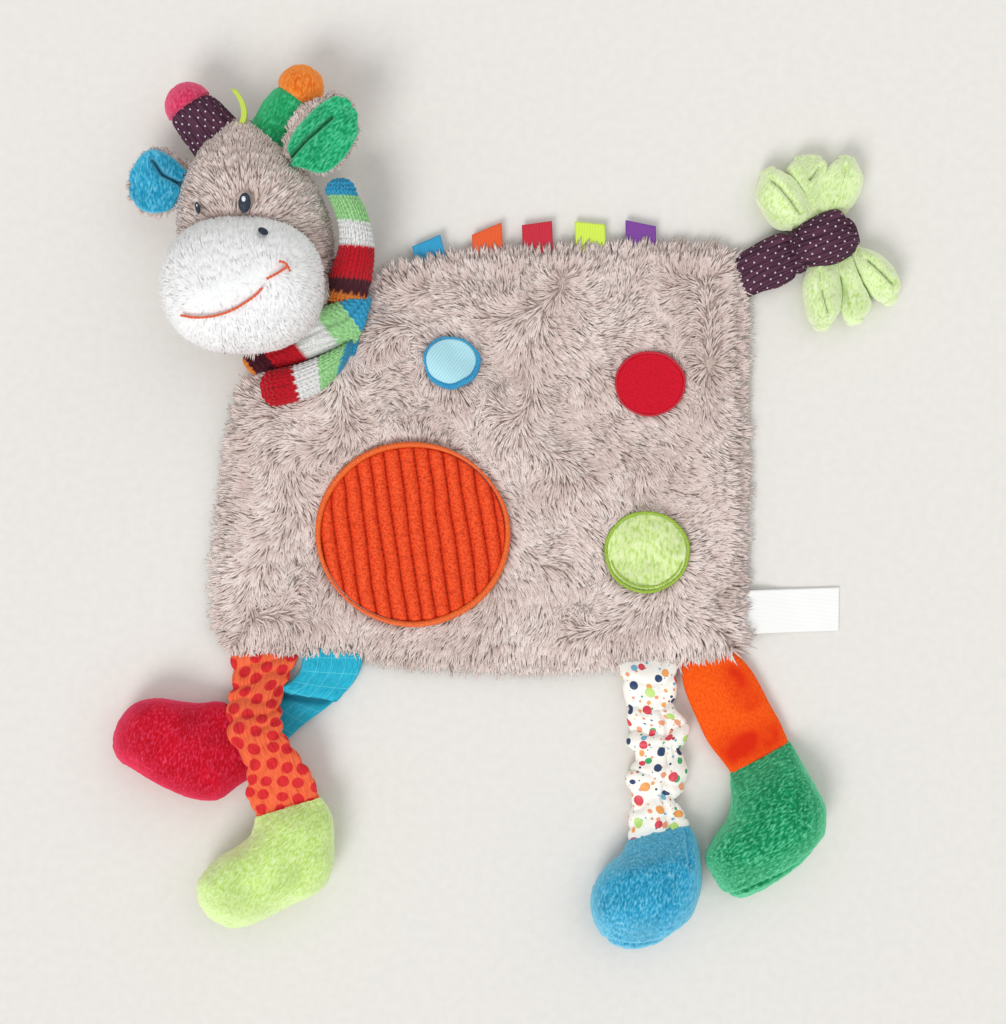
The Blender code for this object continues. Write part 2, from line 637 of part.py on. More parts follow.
def make_legs():
    """Four legs of unlike cloth, each with its stuffed foot. A seventh share lifts a station over the leg below."""
    _, hip, rows = leg_sleeve("dotted", (0.031, 0.158), DOTTED_WIDTH, DOTTED_LENGTH, SLEEVE_THICK, DOTTED_LIFT, (
        (-0.50, 0.00, 0.50, 0.00, 0.12, 0.88, 0.0), (-0.46, -0.17, 0.39, -0.13, 0.20, 1.1, 0.1),
        (-0.53, -0.31, 0.27, -0.29, 0.3, 1.2, 0.5), (-0.47, -0.50, 0.29, -0.43, 0.4, 1.3, 1.1),
        (-0.23, -0.70, 0.46, -0.57, 0.4, 1.3, 1.3), (-0.21, -0.87, 0.70, -0.73, 0.4, 1.3, 1.1),
        (-0.13, -0.99, 0.83, -0.87, 0.8, 1.6, 0.4),
    ), 14, "F4693B")
    foot("lime", "dotted", rows, hip, LIME_FOOT_WIDTH, LIME_FOOT_LENGTH, FOOT_THICK, (
        (-0.27, -0.25, 0.33, -0.10, 0.11, 0.81), (-0.37, -0.35, 0.35, -0.31, -0.02, 0.94),
        (-0.49, -0.42, 0.35, -0.48, -0.02, 1.00), (-0.59, -0.51, 0.26, -0.66, -0.02, 1.00),
        (-0.66, -0.62, 0.03, -0.79, -0.02, 0.93), (-0.66, -0.75, -0.22, -0.93, -0.02, 0.74),
        (-0.60, -0.87, -0.41, -0.97, 0.11, 0.48),
    ), "CBEB86")
    _, hip, rows = leg_sleeve("turquoise", (0.164, 0.278), TURQUOISE_WIDTH, TURQUOISE_LENGTH, SLEEVE_THICK, 0, (
        (-0.51, 0.00, 0.51, 0.00, 0.12, 0.88), (-0.51, -0.17, 0.46, -0.21, 0.07, 0.95),
        (-0.71, -0.37, 0.17, -0.47, 0.06, 0.94), (-1.07, -0.48, -0.34, -0.73, 0.06, 0.88),
        (-1.37, -0.66, -0.71, -0.95, 0.06, 0.88), (-1.57, -0.77, -1.00, -1.11, 0.06, 0.88),
    ), 12, "1BA7C8")
    foot("red", "turquoise", rows, hip, RED_FOOT_WIDTH, RED_FOOT_LENGTH, RED_FOOT_THICK, (
        (-0.18, 0.32, -0.00, -0.37, -0.02, 0.48), (-0.26, 0.36, -0.11, -0.48, -0.02, 0.56),
        (-0.37, 0.35, -0.25, -0.61, -0.02, 0.74), (-0.52, 0.38, -0.44, -0.56, -0.02, 0.92),
        (-0.66, 0.41, -0.61, -0.46, -0.02, 1.00), (-0.80, 0.36, -0.77, -0.33, -0.02, 0.96),
        (-0.91, 0.22, -0.91, -0.21, -0.02, 0.78), (-0.97, 0.07, -0.97, -0.10, 0.16, 0.48),
    ), "DC0F33", turned=True)
    sleeve, hip, rows = leg_sleeve("satin", (0.767, 0.874), SATIN_WIDTH, SATIN_LENGTH, SATIN_THICK, 0, (
        (-0.50, 0.00, 0.50, 0.00, 0.08, 0.58), (-0.49, -0.10, 0.51, -0.12, 0.02, 0.88),
        (-0.41, -0.22, 0.48, -0.24, 0.02, 0.75), (-0.38, -0.32, 0.48, -0.30, 0.02, 0.92),
        (-0.34, -0.41, 0.73, -0.38, 0.02, 0.83), (-0.38, -0.49, 0.67, -0.47, 0.02, 1.00),
        (-0.22, -0.59, 0.59, -0.55, 0.02, 0.75), (-0.36, -0.66, 0.69, -0.66, 0.02, 1.00),
        (-0.40, -0.73, 0.64, -0.76, 0.02, 0.92), (-0.32, -0.82, 0.50, -0.82, 0.02, 0.75),
        (-0.33, -0.92, 0.64, -0.91, 0.02, 0.83), (-0.36, -1.02, 0.70, -0.94, 0.12, 0.71),
    ), 23, "F2F0E9", 0.5)
    make_elastic(sleeve, hip, rows)
    foot("blue", "satin", rows, hip, BLUE_FOOT_WIDTH, BLUE_FOOT_LENGTH, FOOT_THICK, (
        (-0.33, -0.23, 0.35, -0.12, -0.02, 0.70), (-0.47, -0.33, 0.37, -0.28, -0.02, 0.93),
        (-0.58, -0.47, 0.38, -0.46, -0.02, 1.00), (-0.61, -0.63, 0.32, -0.65, -0.02, 1.00),
        (-0.57, -0.79, 0.20, -0.82, -0.02, 0.87), (-0.46, -0.94, 0.02, -0.95, -0.02, 0.63),
        (-0.32, -1.02, -0.19, -1.02, 0.11, 0.37),
    ), "35A9DC")
    _, hip, rows = leg_sleeve("orange", (0.878, 0.985), ORANGE_WIDTH, ORANGE_LENGTH, SLEEVE_THICK, 0, (
        (-0.50, -0.04, 0.50, 0.04, 0.12, 0.88), (-0.36, -0.30, 0.66, -0.13, 0.05, 1.00),
        (-0.19, -0.57, 0.86, -0.34, 0.05, 1.00), (0.02, -0.85, 1.07, -0.59, 0.07, 1.00),
        (0.33, -1.11, 1.23, -0.81, 0.12, 1.00),
    ), 10, "F5520C")
    foot("green", "orange", rows, hip, GREEN_FOOT_WIDTH, GREEN_FOOT_LENGTH, FOOT_THICK, (
        (-0.23, -0.29, 0.37, -0.07, -0.02, 0.67), (-0.27, -0.44, 0.47, -0.23, -0.02, 0.89),
        (-0.38, -0.57, 0.54, -0.39, -0.02, 1.00), (-0.45, -0.71, 0.48, -0.59, -0.02, 1.00),
        (-0.39, -0.84, 0.30, -0.77, -0.02, 0.85), (-0.30, -0.95, 0.09, -0.92, -0.02, 0.63),
        (-0.18, -1.01, -0.05, -0.99, 0.11, 0.37),
    ), "1FA26A")


def tape_form(rows, shares, spare, reach):
    """A flat tape along the middle of a sleeve, at the given shares of its length and past the last by reach."""
    stations = curve_at(rows, np.asarray(shares))
    middle = (stations[:, 0:2] + stations[:, 2:4]) / 2
    line = stations[:, 2:4] - stations[:, 0:2]
    line /= np.linalg.norm(line, axis=1)[:, None]
    level = (stations[:, 4] + stations[:, 5]) / 2
    before, beyond = away_from(stations[0], stations[1]), away_from(stations[-1], stations[-2])
    stations[:, 0:2] = middle - line * (ELASTIC_WIDTH / 2 + spare)
    stations[:, 2:4] = middle + line * (ELASTIC_WIDTH / 2 + spare)
    stations[0, 0:4] += np.tile(before, 2) * spare
    stations[-1, 0:4] += np.tile(beyond, 2) * reach
    stations[:, 4] = level - ELASTIC_THICK / 2 - spare
    stations[:, 5] = level + ELASTIC_THICK / 2 + spare
    return skin(ring_points(stations, 8, 6))


def make_elastic(sleeve, hip, rows):
    """The elastic tape that gathers the satin leg, in a slot that opens at the foot."""
    end = (1 - ELASTIC_LENGTH_SHARE) / 2
    shares = np.linspace(end, 1 - end, 6)
    place("satin_leg_elastic", tape_form(rows, shares, 0, 0), "F3EFE6", hip)
    cut(sleeve, guide("elastic_slot", tape_form(rows, (*shares, 1), GAP, 2 * ANKLE_HALF)), "elastic slot")


def in_head(shares):
    """Turns shares of the head into places, measured from the neck seam's upper right end."""
    return NECK_RIGHT + np.asarray(shares, float) * (HEAD_WIDTH, HEAD_HEIGHT)


def head_form():
    """The stuffed head's outer surface, crown to chin."""
    stations = station_rows(NECK_RIGHT, HEAD_WIDTH, HEAD_HEIGHT, HEAD_THICK, 0, (
        (-0.65, 0.68, -0.60, 0.68, 0.39, 0.57), (-0.75, 0.64, -0.49, 0.64, 0.22, 0.76),
        (-0.88, 0.56, -0.35, 0.56, 0.09, 0.89), (-0.95, 0.48, -0.24, 0.48, 0.00, 0.97),
        (-1.00, 0.39, -0.15, 0.39, -0.01, 1.00), (-1.03, 0.28, -0.08, 0.28, -0.01, 0.96),
        (-1.04, 0.15, -0.05, 0.15, -0.01, 0.87), (-1.03, 0.04, -0.05, 0.04, -0.01, 0.78),
        (-0.99, -0.07, -0.08, -0.07, -0.01, 0.70), (-0.91, -0.17, -0.17, -0.17, 0.02, 0.59),
        (-0.77, -0.26, -0.33, -0.26, 0.13, 0.52), (-0.61, -0.31, -0.50, -0.31, 0.26, 0.46),
    ))
    return skin(ring_points(smooth_rows(stations, 14), 16, 2.15))


def muzzle_form():
    """The muzzle's outer surface: a squarish ball."""
    form = bmesh.new()
    bmesh.ops.create_uvsphere(form, u_segments=18, v_segments=10, radius=1)
    centre = in_head(MUZZLE_CENTRE_SHARES)
    for vert in form.verts:
        unit = vert.co.normalized()
        reach = sum(abs(c) ** 2.3 for c in unit) ** (-1 / 2.3)
        x, y, z = unit * reach
        vert.co = (
            centre[0] + x * MUZZLE_RADIUS_X, centre[1] + y * MUZZLE_RADIUS_Y, MUZZLE_LEVEL + z * MUZZLE_RADIUS_Z,
        )
    return mesh_from(form)


def neck_cutter(name, extra):
    """The room that the neck, the scarf's wrap and the head's nod need, as a wedge along the neck seam."""
    top = NECK_RISE + BODY_THICK + WRAP_THICK + 2 * GAP + extra
    axis_level = NECK_RISE + SEAM_HEIGHT
    seat = SEAM_HALF
    profile = (
        (-CUTTER_OVERRUN, -CUTTER_OVERRUN), (CUTTER_OVERRUN + extra, -CUTTER_OVERRUN),
        (2 * axis_level + extra, 0), (GAP + extra, axis_level - seat / 2), (extra - seat, axis_level),
        (extra - seat, top), (-CUTTER_OVERRUN, top),
    )
    start = NECK_MIDDLE + NECK_OUT * (SEAM_HALF + GAP)
    form = bmesh.new()
    for side in (-1, 1):
        base = start + NECK_ALONG * side * CUTTER_OVERRUN
        ring = [form.verts.new((*(base + NECK_OUT * out), level)) for out, level in profile]
        form.faces.new(ring)
    form.verts.ensure_lookup_table()
    count = len(profile)
    for k in range(count):
        after = (k + 1) % count
        form.faces.new((form.verts[k], form.verts[after], form.verts[count + after], form.verts[count + k]))
    bmesh.ops.recalc_face_normals(form, faces=form.faces)
    return guide(name, mesh_from(form))


def make_head():
    """The head and muzzle: a cloth cover each, open at the neck and where they meet, over the stuffing."""
    head, muzzle = head_form(), muzzle_form()
    seam_middle = NECK_MIDDLE + NECK_OUT * (SEAM_HALF + GAP)
    neck = hinge("head_nod", (*seam_middle, NECK_RISE + SEAM_HEIGHT), (*NECK_ALONG, 0))
    grown_head = guide("grown_head", grown(head, GAP))
    cutter = neck_cutter("neck_room", 0)
    deep_cutter = neck_cutter("filling_room", COVER_THICK)

    cover = place("head_cover", head.copy(), "B5A198", neck)
    cut(cover, guide("head_inside", grown(head, -COVER_THICK)), "inside")
    cut(cover, cutter, "neck")
    filling = place("head_filling", grown(head, -COVER_THICK - GAP), "F4F2EC", neck)
    cut(filling, deep_cutter, "neck")

    muzzle_cover = place("muzzle_cover", muzzle.copy(), "F3F5F3", neck)
    cut(muzzle_cover, guide("muzzle_inside", grown(muzzle, -COVER_THICK)), "inside")
    cut(muzzle_cover, grown_head, "head")
    cut(muzzle_cover, cutter, "neck")
    muzzle_filling = place("muzzle_filling", grown(muzzle, -COVER_THICK - GAP), "F4F2EC", neck)
    cut(muzzle_filling, grown_head, "head")
    cut(muzzle_filling, deep_cutter, "neck")
    make_face(neck, cover, muzzle_cover)
    make_ears()
    make_horns(neck, grown_head)
    centre = in_head((-0.624, 0.66))
    side = np.array((FORELOCK_WIDTH / 2, 0))
    forelock = (centre - side, centre + side, (0.1, 0.995))
    folded_strip("forelock_ribbon", *forelock, (FORELOCK_LENGTH, FORELOCK_LENGTH), RIBBON_THICK, RIBBON_PUFF,
                 "C9D84A", FORELOCK_LEVEL)
    bpy.data.objects["forelock_ribbon_hinge"].parent = neck
    bpy.data.objects["forelock_ribbon_hinge"].matrix_parent_inverse = neck.matrix_world.inverted()


def make_face(neck, cover, muzzle_cover):
    """Embroidered eyes on the head, nostrils and one mouth line on the muzzle."""
    head_tree, muzzle_tree = surface_under(cover), surface_under(muzzle_cover)
    lift = GAP
    for name, shares in (("eye_left", (-0.82, 0.30)), ("eye_right", (-0.571, 0.298))):
        patch(name, in_head(shares), EYE_RADIUS_X, EYE_RADIUS_Y, head_tree, EYE_THICK, lift, 12, "14243A", neck)
    for name, shares, turn in (("nostril_left", (-0.69, 0.155), 0.5), ("nostril_right", (-0.463, 0.152), -0.5)):
        patch(name, in_head(shares), NOSTRIL_RADIUS_X, NOSTRIL_RADIUS_Y, muzzle_tree, EYE_THICK, lift, 10,
              "14243A", neck, turn)
    mouth_shares = (
        (-0.955, -0.172), (-0.881, -0.192), (-0.763, -0.192), (-0.640, -0.166), (-0.533, -0.132),
        (-0.470, -0.089), (-0.422, -0.041), (-0.349, 0.002), (-0.293, 0.028),
    )
    plan = in_head(smooth_rows(mouth_shares, 22))
    points = [(x, y, drop(muzzle_tree, x, y) + MOUTH_RADIUS + 2 * GAP) for x, y in plan]
    cord("mouth_stitching", points, MOUTH_RADIUS, "E0613A", neck)


def make_ears():
    """Two flap ears: a plush back and a velour lining each, sewn along the root and rounded about it."""
    ears = (
        ("left", LEFT_EAR_LEVEL, "2FB4DD", (
            (-0.99, 0.50, -1.05, 0.36), (-1.08, 0.55, -1.09, 0.31), (-1.19, 0.56, -1.19, 0.29),
            (-1.28, 0.53, -1.28, 0.30), (-1.33, 0.47, -1.32, 0.34))),
        ("right", RIGHT_EAR_LEVEL, "21B068", (
            (-0.338, 0.548, -0.238, 0.478), (-0.29, 0.66, -0.09, 0.45), (-0.17, 0.74, 0.04, 0.51),
            (-0.04, 0.77, 0.13, 0.59), (0.06, 0.75, 0.15, 0.66))),
    )
    thin_shares = (0.5, 0.9, 1.0, 0.9, 0.45)
    neck = bpy.data.objects["head_nod"]
    for side, level, colour, rails in ears:
        joint = None
        for layer, thick, under in (("back", EAR_BACK_THICK, True), ("lining", EAR_LINING_THICK, False)):
            table = [(*row, *((-share, 0) if under else (0, share))) for row, share in zip(rails, thin_shares)]
            stations = station_rows(NECK_RIGHT, HEAD_WIDTH, HEAD_HEIGHT, thick, level, table)
            inset = 0 if under else EAR_BACK_THICK / 2
            line = stations[:, 2:4] - stations[:, 0:2]
            line /= np.linalg.norm(line, axis=1)[:, None]
            stations[1:, 0:2] += line[1:] * inset
            stations[1:, 2:4] -= line[1:] * inset
            stations[:, 4 if not under else 5] += GAP / 2 if not under else -GAP / 2
            stations[-1, 0:4] -= np.tile(away_from(stations[-1], stations[-2]), 2) * inset
            rows = smooth_rows(stations, 7)
            rows[0, 4], rows[0, 5] = level - EAR_ROOT_HALF, level + EAR_ROOT_HALF
            if joint is None:
                out = -away_from(rows[0], rows[1])
                joint = hinge(side + "_ear_flap", (*((rows[0, 0:2] + rows[0, 2:4]) / 2), level), lift_axis(out))
                joint.parent = neck
                joint.matrix_parent_inverse = neck.matrix_world.inverted()
            rows = rounded_start(rows, EAR_ROOT_HALF, under=under, over=not under)
            place(side + "_ear_" + layer, skin(ring_points(rows, 12, 2.4)), "B5A198" if under else colour, joint)


def make_horns(neck, grown_head):
    """Two stuffed horns: an open sleeve seated on the crown, a domed tip and the filling inside both."""
    horns = (
        ("left", "4B2A3C", "DB2C55", (
            (-0.87, 0.49, -0.61, 0.66, -0.5, 0.5), (-0.93, 0.54, -0.68, 0.71, -0.5, 0.5),
            (-1.01, 0.61, -0.75, 0.76, -0.5, 0.5), (-1.09, 0.69, -0.84, 0.81, -0.48, 0.48),
            (-1.13, 0.77, -0.88, 0.85, -0.41, 0.41), (-1.09, 0.83, -0.95, 0.87, -0.24, 0.24))),
        ("right", "1FA868", "F27A1E", (
            (-0.69, 0.64, -0.49, 0.52, -0.5, 0.5), (-0.61, 0.71, -0.40, 0.60, -0.5, 0.5),
            (-0.54, 0.77, -0.31, 0.67, -0.5, 0.5), (-0.46, 0.83, -0.22, 0.74, -0.48, 0.48),
            (-0.37, 0.89, -0.12, 0.80, -0.41, 0.41), (-0.27, 0.92, -0.11, 0.86, -0.24, 0.24))),
    )
    for side, stem_colour, tip_colour, shares in horns:
        stations = station_rows(NECK_RIGHT, HEAD_WIDTH, HEAD_HEIGHT, HORN_THICK, HORN_LEVEL, shares)
        rows = smooth_rows(stations, 9)
        seam = 5
        start = rows[seam].copy()
        out = away_from(rows[seam], rows[seam - 1])
        start[0:2] += out * GAP
        start[2:4] += out * GAP
        stem_form = skin(ring_points(rows[: seam + 1], 10, 2), False, False)
        stem = place(side + "_horn_stem", stem_form, stem_colour, neck)
        shell(stem, COVER_THICK)
        cut(stem, grown_head, "head")
        tip_rows = np.vstack([start, rows[seam + 1 :]])
        tip = place(side + "_horn_tip", skin(ring_points(tip_rows, 10, 2), False, True), tip_colour, neck)
        shell(tip, COVER_THICK)
        whole = skin(ring_points(rows, 10, 2))
        filling = place(side + "_horn_filling", grown(whole, -COVER_THICK - 2 * GAP), "F4F2EC", neck)
        cut(filling, grown_head, "head")


def wrap_points():
    """The scarf's wrap: a flat tube carried once round the neck, bowed towards the body at the front."""
    turns, sides, power = 26, 10, 5
    inner_rise = BODY_THICK / 2 + GAP
    centre_level = NECK_RISE + BODY_THICK / 2
    centre = NECK_MIDDLE - NECK_OUT * WRAP_SETBACK
    rings = []
    for turn in np.linspace(0, 2 * math.pi, turns, endpoint=False):
        across = math.copysign(abs(math.cos(turn)) ** (2 / power), math.cos(turn))
        upward = math.copysign(abs(math.sin(turn)) ** (2 / power), math.sin(turn))
        inner = np.array((WRAP_HALF_SPAN * across, inner_rise * upward))
        outer = np.array(((WRAP_HALF_SPAN + WRAP_THICK) * across, (inner_rise + WRAP_THICK) * upward))
        bow = WRAP_BOW * max(math.sin(turn), 0) ** 6
        ring = []
        for angle in np.linspace(0, 2 * math.pi, sides, endpoint=False):
            side = math.copysign(abs(math.cos(angle)) ** (2 / 3), math.cos(angle))
            depth = math.copysign(abs(math.sin(angle)) ** (2 / 3), math.sin(angle))
            along, rise = (inner + outer) / 2 + (outer - inner) / 2 * depth
            spot = centre + NECK_ALONG * along - NECK_OUT * (bow + WRAP_HALF_WIDTH * side)
            ring.append((*spot, max(centre_level + rise, 0)))
        rings.append(ring)
    return rings


def make_scarf(front):
    """The wrap and the two free ends, the upper one beside the head and the lower one on the body's front."""
    place("scarf_neck_wrap", skin(wrap_points(), closed=True), "F5F5F3", ROOT)
    upper = station_rows(NECK_RIGHT, SCARF_WIDTH, SCARF_LENGTH, SCARF_THICK, 0, (
        (-0.12, -0.11, 0.69, -0.16, 1.50, 2.50), (-0.11, 0.05, 0.78, 0.03, 1.54, 2.58),
        (-0.04, 0.24, 0.79, 0.22, 1.67, 2.67), (0.03, 0.42, 0.75, 0.39, 1.83, 2.83),
        (-0.10, 0.60, 0.67, 0.60, 1.92, 2.92), (-0.27, 0.73, 0.45, 0.77, 2.00, 2.92),
        (-0.25, 0.82, 0.14, 0.86, 2.17, 2.67),
    ))
    top = NECK_RISE + BODY_THICK + WRAP_THICK + GAP
    upper[:, 4:6] += top - upper[0, 4]
    rows = rounded_start(smooth_rows(upper, 11), SCARF_THICK / 2)
    out = -away_from(upper[0], upper[1])
    spot = (upper[0, 0:2] + upper[0, 2:4]) / 2
    joint = hinge("scarf_upper_lift", (*spot, (upper[0, 4] + upper[0, 5]) / 2), lift_axis(out))
    place("scarf_upper_end", skin(ring_points(rows, 12, 2.3)), "E3E9E4", joint)

    lower = station_rows(NECK_RIGHT, SCARF_END_LENGTH, SCARF_END_DROP, SCARF_END_THICK, 0, (
        (0.20, -1.27, 0.05, -1.86, 0.00, 1.00), (-0.02, -1.47, -0.08, -2.10, 0.00, 1.00),
        (-0.26, -1.67, -0.21, -2.26, 0.00, 1.00), (-0.50, -1.80, -0.40, -2.43, 0.00, 1.00),
        (-0.67, -1.84, -0.59, -2.57, 0.00, 1.00), (-0.81, -1.96, -0.79, -2.49, 0.20, 0.80),
    ))
    tree = surface_under(front)
    for row in lower:
        spots = [row[0:2] + (row[2:4] - row[0:2]) * share for share in (0, 0.25, 0.5, 0.75, 1)]
        row[4:6] += max(drop(tree, *spot) for spot in spots) + 2 * GAP
    rows = rounded_start(smooth_rows(lower, 9), SCARF_END_THICK / 2)
    out = -away_from(lower[0], lower[1])
    spot = (lower[0, 0:2] + lower[0, 2:4]) / 2
    joint = hinge("scarf_lower_lift", (*spot, (lower[0, 4] + lower[0, 5]) / 2), lift_axis(out))
    place("scarf_lower_end", skin(ring_points(rows, 12, 2.3)), "CC1124", joint)


def make_tail():
    """The tail strap, its wrap band and six folded loops, held by the band."""
    left, right, out = seam_line(RIGHT_EDGE_SHARES, 0.935, 0.865, SEAM_HALF)
    origin = (left + right) / 2
    stations = station_rows(origin, STRAP_LENGTH, STRAP_WIDTH, STRAP_THICK, 0, (
        (-0.10, 0.43, 0.10, -0.38, 0.12, 0.88), (0.20, 0.68, 0.41, -0.24, 0.06, 1.00),
        (0.54, 0.87, 0.76, -0.07, 0.06, 1.12), (0.852, 1.046, 1.062, 0.106, 0.12, 1.25),
    ))
    stations[0] = (*left, *right, SEAM_HEIGHT - SEAM_HALF, SEAM_HEIGHT + SEAM_HALF)
    rows = rounded_start(smooth_rows(stations, 8), SEAM_HALF)
    joint = hinge("tail_swing", (*origin, SEAM_HEIGHT), lift_axis(out))
    place("tail_strap", skin(ring_points(rows, 12, 2.6)), "3F2436", joint)
    centre = origin + np.array((1.41 * STRAP_LENGTH, 0.80 * STRAP_WIDTH))
    band = station_rows(centre, TAIL_WRAP_WIDTH, TAIL_WRAP_HEIGHT, TAIL_WRAP_THICK, 0, (
        (-0.54, 0.21, -0.29, -0.55, 0.10, 0.70), (-0.33, 0.35, -0.03, -0.46, 0.00, 0.90),
        (-0.10, 0.50, 0.26, -0.36, 0.00, 0.95), (0.12, 0.58, 0.53, -0.18, 0.10, 0.75),
    ))
    place("tail_wrap_band", skin(ring_points(smooth_rows(band, 8), 14, 2.6)), "3F2436", joint)
    loops = (
        ("upper_left", ((-0.51, 0.26, -0.37, 0.355, 0.19, 0.81), (-0.87, 0.36, -0.58, 0.78, 0.00, 0.81),
                        (-1.13, 0.65, -0.76, 1.22, 0.00, 0.81), (-1.14, 0.94, -0.91, 1.34, 0.12, 0.69))),
        ("upper_middle", ((-0.33, 0.38, -0.15, 0.50, 0.19, 0.88), (-0.50, 0.85, -0.14, 0.98, 0.00, 0.94),
                          (-0.60, 1.20, -0.03, 1.33, 0.00, 0.88), (-0.48, 1.46, -0.09, 1.54, 0.19, 0.69))),
        ("upper_right", ((-0.06, 0.55, 0.13, 0.62, 0.19, 0.81), (0.00, 0.98, 0.40, 0.80, 0.00, 0.88),
                         (0.11, 1.32, 0.61, 1.02, 0.00, 0.81), (0.28, 1.52, 0.54, 1.33, 0.19, 0.69))),
        ("lower_left", ((-0.23, -0.565, 0.00, -0.485, 0.19, 0.81), (-0.35, -0.95, 0.03, -0.85, 0.00, 0.81),
                        (-0.35, -1.33, 0.16, -1.12, 0.00, 0.81), (-0.12, -1.63, 0.19, -1.48, 0.19, 0.69))),
        ("lower_middle", ((0.07, -0.455, 0.29, -0.375, 0.19, 0.81), (0.21, -0.88, 0.50, -0.62, 0.00, 0.81),
                          (0.35, -1.33, 0.76, -1.03, 0.00, 0.81), (0.49, -1.55, 0.72, -1.31, 0.19, 0.69))),
        ("lower_right", ((0.36, -0.325, 0.56, -0.20, 0.19, 0.81), (0.66, -0.72, 0.86, -0.30, 0.00, 0.81),
                         (0.90, -1.06, 1.21, -0.66, 0.00, 0.81), (1.07, -1.09, 1.24, -0.86, 0.19, 0.69))),
    )
    for name, shares in loops:
        stations = station_rows(centre, TAIL_WRAP_WIDTH, TAIL_WRAP_HEIGHT, TUFT_THICK, 0, shares)
        place("tail_loop_" + name, skin(ring_points(smooth_rows(stations, 8), 10, 2.2)), "BFE874", joint)


def centre_on_table():
    """Moves the whole object so that its box stands on the origin."""
    bpy.context.view_layer.update()
    graph = bpy.context.evaluated_depsgraph_get()
    corners = []
    for piece in PARTS.objects:
        if piece.type == "EMPTY":
            continue
        evaluated = piece.evaluated_get(graph)
        mesh = evaluated.to_mesh()
        points = np.empty(len(mesh.vertices) * 3, np.float32)
        mesh.vertices.foreach_get("co", points)
        world = np.array(piece.matrix_world)
        spots = points.reshape(-1, 3) @ world[:3, :3].T + world[:3, 3]
        corners += [spots.min(axis=0), spots.max(axis=0)]
        evaluated.to_mesh_clear()
    low, high = np.min(corners, axis=0), np.max(corners, axis=0)
    ROOT.location = (-(low[0] + high[0]) / 2, -(low[1] + high[1]) / 2, -low[2])


tidy_scene()
PARTS = collection_named(NAME)
GUIDES = collection_named("guides")
ROOT = bpy.data.objects.new("comforter_origin", None)
PARTS.objects.link(ROOT)
FRONT = make_body()
make_spots(FRONT)
make_tabs()
make_legs()
make_head()
make_scarf(FRONT)
make_tail()
centre_on_table()
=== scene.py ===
"""A plush giraffe comforter lying face up on a pale table, seen from straight above.

Each piece is worked out with numpy as a surface over the solid that it dresses. Lengths are in metres.
A table of stations holds shares of its own piece's sizes: left x and y, right x and y, then the section's
low and high sides.
"""

import json
import math

import bpy
import numpy as np
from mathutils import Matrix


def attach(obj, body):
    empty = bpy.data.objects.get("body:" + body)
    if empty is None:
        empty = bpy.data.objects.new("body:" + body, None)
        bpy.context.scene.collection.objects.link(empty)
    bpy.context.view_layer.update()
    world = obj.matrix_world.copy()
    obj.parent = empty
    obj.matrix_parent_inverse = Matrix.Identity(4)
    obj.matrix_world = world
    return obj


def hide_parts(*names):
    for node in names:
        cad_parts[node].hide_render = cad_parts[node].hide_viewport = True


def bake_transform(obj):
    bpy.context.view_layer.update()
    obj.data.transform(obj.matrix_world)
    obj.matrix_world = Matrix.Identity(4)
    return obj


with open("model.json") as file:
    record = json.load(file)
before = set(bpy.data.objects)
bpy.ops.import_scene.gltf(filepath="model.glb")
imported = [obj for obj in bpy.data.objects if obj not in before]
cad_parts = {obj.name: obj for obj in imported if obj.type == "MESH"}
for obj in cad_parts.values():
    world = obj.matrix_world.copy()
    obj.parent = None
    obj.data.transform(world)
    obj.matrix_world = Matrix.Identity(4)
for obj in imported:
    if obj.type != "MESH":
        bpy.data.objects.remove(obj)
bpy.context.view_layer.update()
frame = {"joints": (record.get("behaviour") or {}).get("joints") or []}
JOINTS = {joint["name"]: joint for joint in frame["joints"]}

# ------------------------------------------------------------------ sizes that the solids have
BODY_CORNER = np.array((-0.131661, -0.069378))
BODY_SIZE = np.array((0.236, 0.188))
BACK_THICK, FRONT_THICK, PANEL_GAP = 0.0034, 0.0032, 0.0003
SEAM_LEVEL = BACK_THICK + PANEL_GAP / 2
RIM_WIDTH, RIM_SHARE = 0.007, 0.31
FOLD_HEIGHT, FOLD_WIDTH = 0.0048, 0.0095
NECK_RISE, NECK_INNER, NECK_OUTER = 0.0053, 0.032, 0.074
WRAP_SETBACK = 0.0058
HEAD_SIZE = np.array((0.068, 0.100))
HEAD_THICK = 0.046
MUZZLE_RADII = np.array((0.0352, 0.0297, 0.0215))
MUZZLE_LEVEL = 0.0360
# Least heights over the table, of a sewn piece and of a lock of pile, and a ribbon's reach into its seam
TABLE_GAP, LOCK_GAP, SEAM_DEPTH = 0.0003, 0.0002, 0.003
# How deep a lock is rooted, and its thickness over its width
LOCK_ROOT, LOCK_FLATNESS = 0.0003, 0.45
SPOT_THICK = 0.0007
SMALL_PILE = 0.0011
KNIT_ROW = 0.0023

